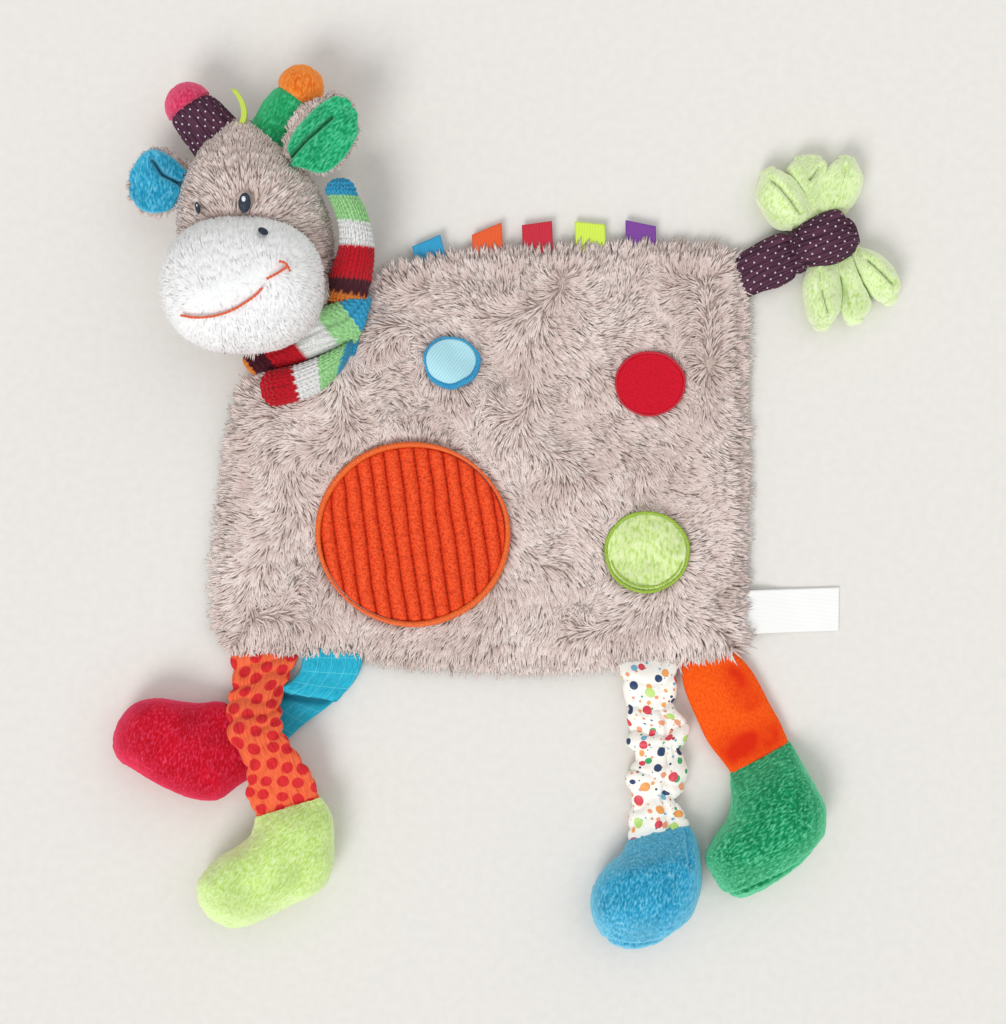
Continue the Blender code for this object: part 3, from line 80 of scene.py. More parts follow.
LEFT_EDGE = (
    (0.029, 0.042), (0.006, 0.11), (0.003, 0.21), (0.012, 0.33), (0.025, 0.46), (0.037, 0.57), (0.055, 0.65),
    (0.088, 0.681), (0.0995, 0.703), (0.069, 0.75), (0.154, 0.832),
)
TOP_EDGE = (
    (0.154, 0.832), (0.24, 0.914), (0.2685, 0.8645), (0.2856, 0.874), (0.303, 0.897), (0.33, 0.931),
    (0.39, 0.964),
    (0.45, 0.979), (0.57, 0.987), (0.69, 0.993), (0.81, 1.0), (0.93, 0.995), (0.975, 0.982), (0.993, 0.95),
)
RIGHT_EDGE = (
    (0.988, 0.045), (0.995, 0.12), (0.997, 0.28), (1.0, 0.44), (0.997, 0.62), (0.997, 0.78), (0.993, 0.95),
)
BOTTOM_EDGE = (
    (0.029, 0.042), (0.046, 0.040), (0.16, 0.041), (0.278, 0.042), (0.312, 0.024), (0.36, 0.015),
    (0.42, 0.008),
    (0.52, 0.003), (0.62, 0.0), (0.71, 0.002), (0.75, 0.015), (0.765, 0.028), (0.876, 0.028), (0.988, 0.045),
)
FOLDS = (
    (0.34, 0.79, 0.48, 0.66, 1.0, 1.0), (0.48, 0.66, 0.66, 0.47, 1.0, 1.0),
    (0.66, 0.47, 0.81, 0.33, 0.7, 1.0),
    (0.48, 0.87, 0.73, 0.80, 0.45, 1.2), (0.12, 0.58, 0.16, 0.20, 0.5, 1.2),
    (0.62, 0.13, 0.92, 0.12, 0.5, 1.1),
    (0.92, 0.86, 0.95, 0.45, 0.5, 1.1),
)
# Appliques on the body: centre shares and the two radii of the outer stitched line
SPOTS = {
    "orange": ((0.375, 0.316), (0.0435, 0.0412)),
    "blue": ((0.448, 0.724), (0.0124, 0.0114)),
    "red": ((0.823, 0.673), (0.0158, 0.0145)),
    "lime": ((0.817, 0.274), (0.0190, 0.0182)),
}


# ------------------------------------------------------------------ arithmetic on whole arrays
def unit(vectors):
    """Each vector over its own length."""
    return vectors / np.maximum(np.linalg.norm(vectors, axis=-1, keepdims=True), 1e-12)


def ease(shares):
    """3 t^2 - 2 t^3, held between 0 and 1."""
    t = np.clip(shares, 0, 1)
    return t * t * (3 - 2 * t)


def bell(values, width):
    """e to the minus (value / width) squared."""
    return np.exp(-((values / width) ** 2))


def superellipse(turn, power):
    """Cosine and sine of the turn, each to the power 2 / power with its sign kept."""
    return [np.sign(wave) * np.abs(wave) ** (2 / power) for wave in (np.cos(turn), np.sin(turn))]


def on_table(plan):
    """Places in plan as points at no height."""
    return np.column_stack([plan, np.zeros(len(plan))])


def pairs(rows, sides):
    """Every pair of a row's and a side's number, in two flat arrays."""
    return [grid.ravel() for grid in np.meshgrid(np.arange(rows), np.arange(sides), indexing="ij")]


def curve_at(rows, shares):
    """A Catmull-Rom curve through the rows, read at shares of its number of steps."""
    rows = np.asarray(rows, float)
    ends = np.vstack([2 * rows[0] - rows[1], rows, 2 * rows[-1] - rows[-2]])
    at = np.clip(shares, 0, 1) * (len(rows) - 1)
    step = np.minimum(at.astype(int), len(rows) - 2)
    t = (at - step)[:, None]
    p0, p1, p2, p3 = (ends[step + k] for k in range(4))
    curved = (p2 - p0) * t + (2 * p0 - 5 * p1 + 4 * p2 - p3) * t**2 + (3 * p1 - p0 - 3 * p2 + p3) * t**3
    return p1 + curved / 2


def chance(cells, seed):
    """A fixed number from 0 to 1 for each lattice cell, mixed from its three whole numbers and the seed."""
    mixed = (cells[..., 0] * 374761393 + cells[..., 1] * 668265263 + cells[..., 2] * 1442695041
             + seed * 97471171) & 0xFFFFFFFF
    mixed = ((mixed ^ (mixed >> 13)) * 1274126177) & 0xFFFFFFFF
    return ((mixed ^ (mixed >> 16)) & 0xFFFFFF) / 0x1000000


def lumps(points, pitch, seed=0):
    """Smooth noise from -1 to 1: a fixed chance at each corner of a lattice of that pitch, eased between."""
    at = np.asarray(points, float) / pitch
    base = np.floor(at).astype(np.int64)
    part = ease(at - base)
    total = np.zeros(at.shape[:-1])
    for corner in np.ndindex(2, 2, 2):
        near = np.array(corner)
        weight = np.prod(np.where(near, part, 1 - part), axis=-1)
        total += weight * chance(base + near, seed)
    return 2 * total - 1


def tufts(points, pitch, seed):
    """The nearest of a shaken lattice's centres to each point, and the number from 0 to 1 its tuft shares."""
    base = np.floor(points / pitch).astype(np.int64)
    best, share = np.full(len(points), np.inf), np.zeros(len(points))
    centre = np.zeros_like(points)
    for offset in np.ndindex(3, 3, 3):
        cell = base + np.array(offset) - 1
        spot = (cell + np.stack([chance(cell, seed + k) for k in range(3)], -1)) * pitch
        far = np.linalg.norm(points - spot, axis=1)
        nearer = far < best
        best[nearer], centre[nearer] = far[nearer], spot[nearer]
        share[nearer] = chance(cell, seed + 7)[nearer]
    return centre, share


def off_line(points, line):
    """How far each point is, in plan, from a line of straight stretches."""
    plan, line = points[..., :2], np.asarray(line, float)
    best = np.full(plan.shape[:-1], np.inf)
    for start, end in zip(line[:-1], line[1:]):
        run = end - start
        along = np.clip(((plan - start) @ run) / (run @ run), 0, 1)
        best = np.minimum(best, np.linalg.norm(plan - start - along[..., None] * run, axis=-1))
    return best


# ------------------------------------------------------------------ places on the object
def in_body(shares):
    """Shares of the body's size, from its lower left corner, as places on the table."""
    return BODY_CORNER + np.asarray(shares, float) * BODY_SIZE


NECK_RIGHT, NECK_LEFT = in_body(TOP_EDGE[1]), in_body(LEFT_EDGE[-2])
NECK_ALONG = unit(NECK_RIGHT - NECK_LEFT)
NECK_OUT = np.array((-NECK_ALONG[1], NECK_ALONG[0]))
NECK_MIDDLE = (NECK_LEFT + NECK_RIGHT) / 2
WRAP_CENTRE = NECK_MIDDLE - NECK_OUT * WRAP_SETBACK


def in_head(shares):
    """Shares of the head's size, from the neck seam's upper right end, as places on the table."""
    return NECK_RIGHT + np.asarray(shares, float) * HEAD_SIZE


def edge_at(edge, shares):
    """A place along an edge of the body, straight between the edge's points."""
    steps = np.linspace(0, 1, len(edge))
    return np.column_stack([np.interp(shares, steps, line) for line in in_body(edge).T])


OUTLINE = np.vstack([
    edge_at(BOTTOM_EDGE, np.linspace(0, 1, 160)), edge_at(RIGHT_EDGE, np.linspace(0, 1, 130)),
    edge_at(TOP_EDGE, np.linspace(1, 0, 170)), edge_at(LEFT_EDGE, np.linspace(1, 0, 120)),
])


def panel_plan(u, v):
    """The body's outline filled by a Coons patch: each edge weighted by how near it is, less the corners."""
    bottom, top = edge_at(BOTTOM_EDGE, u), edge_at(TOP_EDGE, u)
    left, right = edge_at(LEFT_EDGE, v), edge_at(RIGHT_EDGE, v)
    u, v = u[:, None], v[:, None]
    corners = (
        (1 - u) * (1 - v) * in_body(BOTTOM_EDGE[0]) + u * (1 - v) * in_body(BOTTOM_EDGE[-1])
        + (1 - u) * v * in_body(TOP_EDGE[0]) + u * v * in_body(TOP_EDGE[-1])
    )
    return (1 - v) * bottom + v * top + (1 - u) * left + u * right - corners


def nearest_outline(plan):
    """The outline's point nearest to each place, worked out a few thousand places at a time."""
    found = np.empty_like(plan)
    for start in range(0, len(plan), 4000):
        part = plan[start : start + 4000]
        found[start : start + 4000] = OUTLINE[np.linalg.norm(part[:, None] - OUTLINE, axis=2).argmin(axis=1)]
    return found


def rim_ease(plan):
    """0 at the sewn rim and 1 a rim's width inside it."""
    return ease(np.linalg.norm(plan - nearest_outline(plan), axis=1) / RIM_WIDTH)


def neck_rise(plan, spread=0.0):
    """How far the scarf under the neck lifts the body: fully near the wrap, not at all further out."""
    distance = np.linalg.norm(plan - WRAP_CENTRE, axis=-1)
    return NECK_RISE * ease((NECK_OUTER + spread - distance) / (NECK_OUTER - NECK_INNER))


def fold_rise(plan):
    """Height of the soft folds: the highest of the bell-shaped ridges along the folds' lines."""
    rise = np.zeros(len(plan))
    for x0, y0, x1, y1, height_share, width_share in FOLDS:
        start, end = in_body((x0, y0)), in_body((x1, y1))
        run = end - start
        along = np.clip((plan - start) @ run / (run @ run), 0, 1)
        off = np.linalg.norm(plan - start - along[:, None] * run, axis=1)
        rise = np.maximum(rise, FOLD_HEIGHT * height_share * bell(off, FOLD_WIDTH * width_share))
    return rise


def front_level(plan, pile=FRONT_THICK):
    """Height of the body's front, for a pile of the given thickness."""
    inside = rim_ease(plan)
    base = BACK_THICK + PANEL_GAP + neck_rise(plan, RIM_WIDTH) + fold_rise(plan) * inside
    return base + pile * (RIM_SHARE + (1 - RIM_SHARE) * inside)


# ------------------------------------------------------------------ surfaces
def volume_of(points, triangles):
    """A closed surface's volume: a sixth of each triangle's corner product, summed."""
    a, b, c = (points[triangles[:, k]] for k in range(3))
    return float((a * np.cross(b, c)).sum() / 6)


def surface(name, points, faces, coords=None, **shades):
    """A smooth mesh from arrays: faces are groups of quads or triangles, coords a UV place for each corner
    of a face, and shades numbers or colours for each point. It is turned so that its faces look outwards."""
    groups = [np.asarray(group, np.int64) for group in faces if len(group)]
    triangles = np.vstack([group[:, (0, k, k + 1)] for group in groups for k in range(1, group.shape[1] - 1)])
    if volume_of(points - points.mean(axis=0), triangles) < 0:
        groups = [group[:, ::-1] for group in groups]
        coords = None if coords is None else [part[:, ::-1] for part in coords]
    corners = np.concatenate([group.ravel() for group in groups])
    sizes = np.concatenate([np.full(len(group), group.shape[1]) for group in groups])
    mesh = bpy.data.meshes.new(name)
    mesh.vertices.add(len(points))
    mesh.vertices.foreach_set("co", np.ascontiguousarray(points, np.float32).ravel())
    mesh.loops.add(len(corners))
    mesh.loops.foreach_set("vertex_index", corners.astype(np.int32))
    mesh.polygons.add(len(sizes))
    mesh.polygons.foreach_set("loop_start", (np.cumsum(sizes) - sizes).astype(np.int32))
    mesh.polygons.foreach_set("use_smooth", np.ones(len(sizes), bool))
    if coords is not None:
        flat = np.concatenate([np.asarray(part, float).reshape(-1, 2) for part in coords])
        mesh.uv_layers.new(name="cloth").data.foreach_set("uv", flat.astype(np.float32).ravel())
    for key, values in shades.items():
        kind, field = ("FLOAT_COLOR", "color") if np.ndim(values) == 2 else ("FLOAT", "value")
        layer = mesh.attributes.new(key, kind, "POINT")
        layer.data.foreach_set(field, np.asarray(values, np.float32).ravel())
    mesh.update(calc_edges=True)
    return mesh


def normals_of(points):
    """Outward normals of a tube's points: the cross product of its two directions, turned away from each
    row's middle."""
    around = np.roll(points, -1, 1) - np.roll(points, 1, 1)
    normal = unit(np.cross(around, np.gradient(points, axis=0)))
    outward = ((points - points.mean(axis=1, keepdims=True)) * normal).sum() >= 0
    return normal if outward else -normal


def loft(stations, rows, sides, power=2.3):
    """Rounded sections carried along the stations: each is a superellipse of the given power between its
    two rail points and its low and high sides, and starts under its middle. None goes below the table."""
    fine = curve_at(stations, np.linspace(0, 1, rows))
    turn = np.linspace(-math.pi / 2, 1.5 * math.pi, sides, endpoint=False)
    across, upward = superellipse(turn, power)
    left, right = fine[:, None, 0:2], fine[:, None, 2:4]
    plan = (left + right) / 2 + (right - left) / 2 * across[None, :, None]
    low, high = fine[:, 4, None], fine[:, 5, None]
    return np.dstack([plan, np.maximum((high + low) / 2 + (high - low) / 2 * upward, TABLE_GAP)])


def stations_at(origin, width, height, thick, base, shares):
    """A table of shares as stations in metres."""
    table = np.asarray(shares, float)
    plan = [origin + table[:, k : k + 2] * (width, height) for k in (0, 2)]
    return np.column_stack([plan[0], plan[1], base + table[:, 4] * thick, base + table[:, 5] * thick])


def away_from(row, following):
    """The level direction square to a station's line, away from the next station."""
    line = unit(row[2:4] - row[0:2])
    out = np.array((line[1], -line[0]))
    toward = (following[0:2] + following[2:4]) / 2 - (row[0:2] + row[2:4]) / 2
    return -out if out @ toward > 0 else out


def rounded(stations, reach, steps=5, close=0.35):
    """The stations with a rounded end before the first: sections shrink as the cosine while they move by the
    sine, in height by all of it and in width by the share close."""
    first, out = stations[0], away_from(stations[0], stations[1])
    middle, half = (first[4] + first[5]) / 2, (first[5] - first[4]) / 2
    rows = []
    for angle in np.linspace(math.pi / 2 * 0.93, 0, steps, endpoint=False):
        row = first.copy()
        row[0:4] += np.tile(out, 2) * reach * math.sin(angle)
        centre = np.tile((row[0:2] + row[2:4]) / 2, 2)
        row[0:4] = centre + (row[0:4] - centre) * (1 - close * (1 - math.cos(angle)))
        row[4:6] = middle - half * math.cos(angle), middle + half * math.cos(angle)
        rows.append(row)
    return np.vstack([rows, stations])


def cloth_places(points):
    """Where each point lies on the flat cloth: its way round the section from the top's middle, and its way
    along the piece."""
    wrapped = np.concatenate([points, points[:, :1]], axis=1)
    steps = np.linalg.norm(np.diff(wrapped, axis=1), axis=2)
    u = np.concatenate([np.zeros((len(points), 1)), np.cumsum(steps, axis=1)], axis=1)
    u -= u[:, -1:] / 2
    path = np.linalg.norm(np.diff(points, axis=0), axis=2).mean(axis=1)
    v = np.concatenate([[0], np.cumsum(path)])[:, None] * np.ones_like(u)
    return u, v


def tube_faces(rows, sides, ring=False):
    """Quads between neighbouring sections, and the two fans that close the ends unless the tube is a ring."""
    steps = rows if ring else rows - 1
    k, j = pairs(steps, sides)
    far, after = (j + 1) % sides, (k + 1) % rows
    quads = np.column_stack([k * sides + j, k * sides + far, after * sides + far, after * sides + j])
    if ring:
        return quads, np.empty((0, 3), int)
    j = np.arange(sides)
    start = np.column_stack([np.full(sides, rows * sides), (j + 1) % sides, j])
    last = (rows - 1) * sides
    end = np.column_stack([np.full(sides, rows * sides + 1), last + j, last + (j + 1) % sides])
    return quads, np.vstack([start, end])


def tube(name, points, ring=False, flat=None, **shades):
    """A closed tube through the sections, with its cloth places as UV, in metres: its own, or those of the
    flat tube that it was pressed out of."""
    rows, sides = points.shape[:2]
    u, v = cloth_places(points if flat is None else flat)
    quads, fans = tube_faces(rows, sides, ring)
    k, j = pairs(rows if ring else rows - 1, sides)
    after = (k + 1) % rows
    length = v[-1, 0] + np.linalg.norm(points[0] - points[-1], axis=1).mean() if ring else 0
    past = np.where(after == 0, length, 0)
    coords = [np.stack([
        np.column_stack([u[k, j], v[k, j]]), np.column_stack([u[k, j + 1], v[k, j + 1]]),
        np.column_stack([u[after, j + 1], v[after, j + 1] + past]),
        np.column_stack([u[after, j], v[after, j] + past]),
    ], axis=1)]
    solid = points.reshape(-1, 3)
    ends = () if ring else (0, -1)
    if ends:
        solid = np.vstack([solid, points[0].mean(axis=0), points[-1].mean(axis=0)])
        j = np.arange(sides)
        fan_places = []
        for row, order in ((0, (1, 0)), (-1, (0, 1))):
            corners = [np.column_stack([u[row, j + step], v[row, j]]) for step in order]
            fan_places.append(np.stack([np.column_stack([u[row, j] * 0, v[row, j]]), *corners], axis=1))
        coords.append(np.concatenate(fan_places))
    shades = {
        key: np.concatenate([values.reshape(rows * sides, *values.shape[2:]),
                             *([values[row].mean(axis=0)] for row in ends)])
        for key, values in shades.items()
    }
    return surface(name, solid, (quads, fans), coords, **shades)


def quads_of(grid):
    """Quads between the neighbours in a grid of point numbers."""
    corners = (grid[:-1, :-1], grid[1:, :-1], grid[1:, 1:], grid[:-1, 1:])
    return np.column_stack([corner.ravel() for corner in corners])


def pillow(name, top, bottom, **shades):
    """A closed form from two grids of points that share their border: the top's border points serve both."""
    n, m = top.shape[:2]
    border = np.zeros((n, m), bool)
    border[[0, -1]] = border[:, [0, -1]] = True
    upper = np.arange(n * m).reshape(n, m)
    lower = np.where(border, upper, 0)
    lower[~border] = n * m + np.arange((~border).sum())
    solid = np.vstack([top.reshape(-1, 3), bottom[~border]])
    faces, coords = [], []
    for grid, flip in ((upper, False), (lower, True)):
        quads = quads_of(grid)[:, ::-1] if flip else quads_of(grid)
        faces.append(quads)
        coords.append(solid[quads][..., :2])
    shades = {key: np.concatenate([values.ravel(), values[~border]]) for key, values in shades.items()}
    return surface(name, solid, faces, coords, **shades)


def disc_shares(count):
    """A square grid pressed into a round: x = a sqrt(1 - b^2 / 2) and y = b sqrt(1 - a^2 / 2), with a and b
    from -1 to 1."""
    a, b = np.meshgrid(np.linspace(-1, 1, count), np.linspace(-1, 1, count), indexing="ij")
    return a * np.sqrt(1 - b * b / 2), b * np.sqrt(1 - a * a / 2)


def cord_rings(path, radius, closed=False, ripple=0.0, thread=0.0009):
    """A thin round tube along a path: circles square to it, swelling and thinning by ripple once for each
    thread."""
    ahead = np.roll(path, -1, 0) - np.roll(path, 1, 0) if closed else np.gradient(path, axis=0)
    forward = unit(ahead)
    side = unit(np.cross(forward, (0, 0, 1)))
    over = np.cross(side, forward)
    turn = np.linspace(0, 2 * math.pi, 8, endpoint=False)[None, :, None]
    run = np.concatenate([[0], np.cumsum(np.linalg.norm(np.diff(path, axis=0), axis=1))])
    girth = (np.ones(len(path)) * radius * (1 + ripple * np.sin(run / thread * 2 * math.pi)))[:, None, None]
    return path[:, None] + girth * (side[:, None] * np.cos(turn) + over[:, None] * np.sin(turn))


def scatter(points, triangles, count, seed):
    """Places spread evenly over a surface: a triangle drawn by its area, then a place drawn inside it."""
    rng = np.random.default_rng(seed)
    a, b, c = (points[triangles[:, k]] for k in range(3))
    cross = np.cross(b - a, c - a)
    areas = np.linalg.norm(cross, axis=1)
    pick = np.searchsorted(np.cumsum(areas), rng.random(count) * areas.sum())
    s, t = rng.random((2, count, 1))
    flip = s + t > 1
    s, t = np.where(flip, 1 - s, s), np.where(flip, 1 - t, t)
    return a[pick] + (b - a)[pick] * s + (c - a)[pick] * t, unit(cross[pick])


def facing(roots, normals, centre, weight=(1, 1, 1)):
    """The normals, each turned to look away from the centre."""
    return normals * np.sign(((roots - centre) * normals * weight).sum(axis=1, keepdims=True))


def locks_mesh(name, roots, normals, leans, lengths, width, seed, stand, gather, pitch, rings, stray, soft):
    """Pile. A lock is a three-sided tube that narrows to a point along
    root + length (lean (0.3 s + 0.7 s^2) + normal stand (s - 0.45 s^2)), its tip drawn sideways to its
    tuft's middle. Its height attribute runs from 0 at the root to 1 at the tip, and tone is a number that
    its tuft mostly shares. Soft turns its shading normals from its own sides to the coat's."""
    count = len(roots)
    rng = np.random.default_rng(seed)
    centre, shared = tufts(roots, pitch, seed)
    size = (lengths * (0.75 + 0.5 * rng.random(count)))[:, None]
    leans = unit(leans) + stray * rng.normal(size=leans.shape)
    leans = unit(leans - normals * (leans * normals).sum(axis=1, keepdims=True))
    side = np.cross(leans, normals)
    pull = centre - roots
    pull -= normals * (pull * normals).sum(axis=1, keepdims=True)
    turn = (np.arange(3) * 2 * math.pi / 3 + math.pi / 2)[None, :, None]
    girth = width * (0.75 + 0.5 * rng.random(count))[:, None, None] / 2
    rows = []
    for s, share in rings:
        rise = leans * (0.3 * s + 0.7 * s * s) + normals * stand * (s - 0.45 * s * s)
        spine = roots - normals * LOCK_ROOT + size * rise + pull * gather * s * s
        offset = side[:, None] * np.cos(turn) + normals[:, None] * np.sin(turn) * LOCK_FLATNESS
        rows.append(spine[:, None] + offset * girth * share if share else spine[:, None])
    solid = np.concatenate(rows, axis=1)
    solid[..., 2] = np.maximum(solid[..., 2], LOCK_GAP)
    per, bands = solid.shape[1], len(rings) - 2
    quads = np.array([(3 * k + j, 3 * k + (j + 1) % 3, 3 * k + 3 + (j + 1) % 3, 3 * k + 3 + j)
                      for k in range(bands) for j in range(3)])
    fans = np.array([(3 * bands + j, 3 * bands + (j + 1) % 3, 3 * bands + 3) for j in range(3)] + [(2, 1, 0)])
    triangles = np.vstack([fans, quads[:, (0, 1, 2)], quads[:, (0, 2, 3)]])
    if volume_of(solid[0] - solid[0].mean(axis=0), triangles) <= 0:
        quads, fans = quads[:, ::-1], fans[:, ::-1]
    start = (np.arange(count) * per)[:, None, None]
    height = np.concatenate([np.full(3 if share else 1, s) for s, share in rings])
    tone = 0.65 * shared + 0.35 * rng.random(count)
    mesh = surface(
        name, solid.reshape(-1, 3), ((start + quads).reshape(-1, 4), (start + fans).reshape(-1, 3)),
        height=np.tile(height, count), tone=np.repeat(tone, per),
    )
    if soft:
        around = unit(solid - solid.mean(axis=1, keepdims=True)) * (1 - soft) + normals[:, None] * soft
        mesh.normals_split_custom_set_from_vertices(unit(around.reshape(-1, 3)).tolist())
    return mesh


# ------------------------------------------------------------------ materials
MIXED = {"data_type": "RGBA", "out": 2}
TIMES = {**MIXED, "blend_type": "MULTIPLY"}


def linear(code):
    """An sRGB hex colour as the linear colour that shaders work in."""
    parts = [int(code[k : k + 2], 16) / 255 for k in (0, 2, 4)]
    return (*(part / 12.92 if part <= 0.04045 else ((part + 0.055) / 1.055) ** 2.4 for part in parts), 1.0)


def add(tree, kind, inputs=None, stops=None, out=0, **settings):
    """Adds one node with its settings and gives its output out. An input is a value, a hex colour or another
    node's output, and stops are a ramp's colours."""
    node = tree.nodes.new("ShaderNode" + kind)
    for key, value in settings.items():
        setattr(node, key, value)
    for key, value in (inputs or {}).items():
        if isinstance(value, bpy.types.NodeSocket):
            tree.links.new(value, node.inputs[key])
        else:
            node.inputs[key].default_value = linear(value) if isinstance(value, str) else value
    if stops:
        ramp = node.color_ramp
        while len(ramp.elements) < len(stops):
            ramp.elements.new(0.5)
        for element, (place, code) in zip(ramp.elements, stops):
            element.position, element.color = place, linear(code)
    return node.outputs[out]


def on_cloth(tree, pitch_u, pitch_v, turn=0.0):
    """The cloth's own places, counted in repeats of the given pitches."""
    return add(tree, "Mapping", {"Vector": add(tree, "UVMap", uv_map="cloth"), "Rotation": (0, 0, turn),
                                 "Scale": (1 / pitch_u, 1 / pitch_v, 1)})


def in_place(tree, pitch, stretch=(1, 1, 1), turn=(0, 0, 0)):
    """Places in the object, counted in repeats of the pitch, drawn out by stretch along each turned axis."""
    turned = add(tree, "Mapping", {"Vector": add(tree, "TexCoord", out="Object"), "Rotation": turn})
    return add(tree, "Mapping", {"Vector": turned, "Scale": tuple(1 / pitch / s for s in stretch)})


def finish(name, roughness, colour, height=None, depth=0.0004, sheen=0.0, sheen_tint="FFFFFF", specular=0.5):
    """A dressed cloth: colour and height are functions of the node tree that give an output, the rest are
    constants."""
    made = bpy.data.materials.new(name)
    made.use_nodes = True
    tree = made.node_tree
    shader = tree.nodes["Principled BSDF"]
    for key, value in (("Roughness", roughness), ("Specular IOR Level", specular), ("IOR", 1.5),
                       ("Sheen Weight", sheen), ("Sheen Roughness", 0.5), ("Sheen Tint", linear(sheen_tint))):
        shader.inputs[key].default_value = value
    tree.links.new(colour(tree), shader.inputs["Base Color"])
    if height:
        bump = add(tree, "Bump", {"Height": height(tree), "Distance": depth, "Strength": 1.0})
        tree.links.new(bump, shader.inputs["Normal"])
    return made


def pile_material(name, root, body, tip, patch_dark, patch_share=0.35, tones=("DAD3CF", "F6F3F1", "FFFFFF")):
    """Long polyester pile: darker at the roots as painted shade deep in the pile, pale at the tips, no two
    tufts alike, with darker patches.
    """
    def colour(tree):
        height = add(tree, "Attribute", out="Fac", attribute_name="height")
        tone = add(tree, "Attribute", out="Fac", attribute_name="tone")
        # painted shade: the colour darkens from tip to root, standing in for the shade deep in the pile
        along = add(tree, "ValToRGB", {0: height}, stops=((0.0, root), (0.42, body), (0.95, tip)))
        shade = add(tree, "ValToRGB", {0: tone}, stops=tuple(zip((0.0, 0.5, 1.0), tones)))
        toned = add(tree, "Mix", {0: 1.0, 6: along, 7: shade}, **TIMES)
        drift = add(tree, "TexNoise", {"Vector": in_place(tree, 0.030), "Scale": 1.0, "Detail": 3})
        slow = add(tree, "ValToRGB", {0: drift}, stops=((0.40, patch_dark), (0.60, "FFFFFF")))
        patched = add(tree, "Mix", {0: 1.0, 6: toned, 7: slow}, **TIMES)
        return add(tree, "Mix", {0: patch_share, 6: toned, 7: patched}, **MIXED)
    return finish(name, 0.9, colour, sheen=0.2, sheen_tint="FFF8F2", specular=0.25)


def minky_material(name, dark, body, light, pitch=0.0009, turn=0.0):
    """Short velour pile: fine dashes about a millimetre long, paler where the pile is seen from its side as a
    painted sheen, and darker along the crease attribute as painted shade.
    """
    def dashes(tree):
        places = in_place(tree, pitch, (1, 2.6, 1), (0, 0, turn))
        return add(tree, "TexNoise", {"Vector": places, "Scale": 1.0, "Detail": 3})

    def colour(tree):
        fine = add(tree, "ValToRGB", {0: dashes(tree)}, stops=((0.34, dark), (0.50, body), (0.74, light)))
        drift = add(tree, "TexNoise", {"Vector": in_place(tree, 0.014), "Scale": 1.0, "Detail": 2})
        slow = add(tree, "ValToRGB", {0: drift}, stops=((0.35, "E6E6E6"), (0.65, "FFFFFF")))
        toned = add(tree, "Mix", {0: 1.0, 6: fine, 7: slow}, **TIMES)
        # painted sheen: the colour turns towards the light stop where the surface is seen edge-on
        side = add(tree, "LayerWeight", {"Blend": 0.35}, out="Facing")
        reach = add(tree, "MapRange", {0: side, 1: 0.05, 2: 0.55, 3: 0.0, 4: 0.85})
        # painted shade: the colour darkens where the crease attribute marks a fold's groove
        crease = add(tree, "Attribute", out="Fac", attribute_name="crease")
        pale = add(tree, "Mix", {0: reach, 6: toned, 7: light}, **MIXED)
        painted_crease_shade = add(tree, "Mix", {0: 1.0, 6: dark, 7: "8C8C8C"}, **TIMES)
        return add(tree, "Mix", {0: crease, 6: pale, 7: painted_crease_shade}, **MIXED)
    return finish(name, 0.85, colour, dashes, 0.0006, sheen=0.06, sheen_tint=light, specular=0.2)


def plain_material(name, dark, light, roughness, pitch=0.0008, depth=0.0002, sheen=0.0, specular=0.5):
    """A plain cloth or thread: two near colours mottled at the pitch of its threads."""
    def threads(tree):
        return add(tree, "TexNoise", {"Vector": in_place(tree, pitch), "Scale": 1.0, "Detail": 2})

    def colour(tree):
        return add(tree, "ValToRGB", {0: threads(tree)}, stops=((0.35, dark), (0.65, light)))
    return finish(name, roughness, colour, threads, depth, sheen=sheen, specular=specular, sheen_tint=light)


def ribbed_material(name, dark, light, roughness, pitch, turn=0.0, depth=0.00025, uv=True):
    """A cloth with fine straight ribs: a cosine across the cloth, once for each rib."""
    def ribs(tree):
        places = on_cloth(tree, pitch, pitch, turn) if uv else in_place(tree, pitch, turn=(0, 0, turn))
        across = add(tree, "SeparateXYZ", {0: places})
        turns = add(tree, "Math", {0: across, 1: 2 * math.pi}, operation="MULTIPLY")
        wave = add(tree, "Math", {0: turns}, operation="COSINE")
        return add(tree, "Math", {0: wave, 1: 0.5, 2: 0.5}, operation="MULTIPLY_ADD")

    def colour(tree):
        return add(tree, "ValToRGB", {0: ribs(tree)}, stops=((0.1, dark), (0.7, light)))
    return finish(name, roughness, colour, ribs, depth, sheen_tint=light)


def dots_on(tree, places, radius, randomness, under, over):
    """Round dots of one colour, one in each cell of a shaken lattice."""
    far = add(tree, "TexVoronoi", {"Vector": places, "Scale": 1.0, "Randomness": randomness}, out="Distance",
              voronoi_dimensions="2D")
    inside = add(tree, "ValToRGB", {0: far}, stops=((radius * 0.92, "FFFFFF"), (radius * 1.08, "000000")))
    return add(tree, "Mix", {0: inside, 6: under, 7: over}, **MIXED)


def many_dots(tree, pitch, turn, smallest, largest, under, palette):
    """Round dots whose colour and size come from their cell's own chance."""
    places = on_cloth(tree, pitch, pitch, turn)
    far = add(tree, "TexVoronoi", {"Vector": places, "Scale": 1.0, "Randomness": 0.38}, out="Distance",
              voronoi_dimensions="2D")
    first = add(tree, "SeparateColor", {0: far.node.outputs["Color"]})
    size = add(tree, "MapRange", {0: first, 3: smallest, 4: largest})
    inside = add(tree, "Math", {0: far, 1: size}, operation="LESS_THAN")
    picked = add(tree, "ValToRGB", {0: first.node.outputs[1]}, stops=palette)
    picked.node.color_ramp.interpolation = "CONSTANT"
    return add(tree, "Mix", {0: inside, 6: under, 7: picked}, **MIXED)


def weave(tree):
    """A plain cloth's height: noise drawn out along one of its threads."""
    return add(tree, "TexNoise", {"Vector": on_cloth(tree, 0.0007, 0.0007 * 2.2), "Scale": 1.0, "Detail": 1})


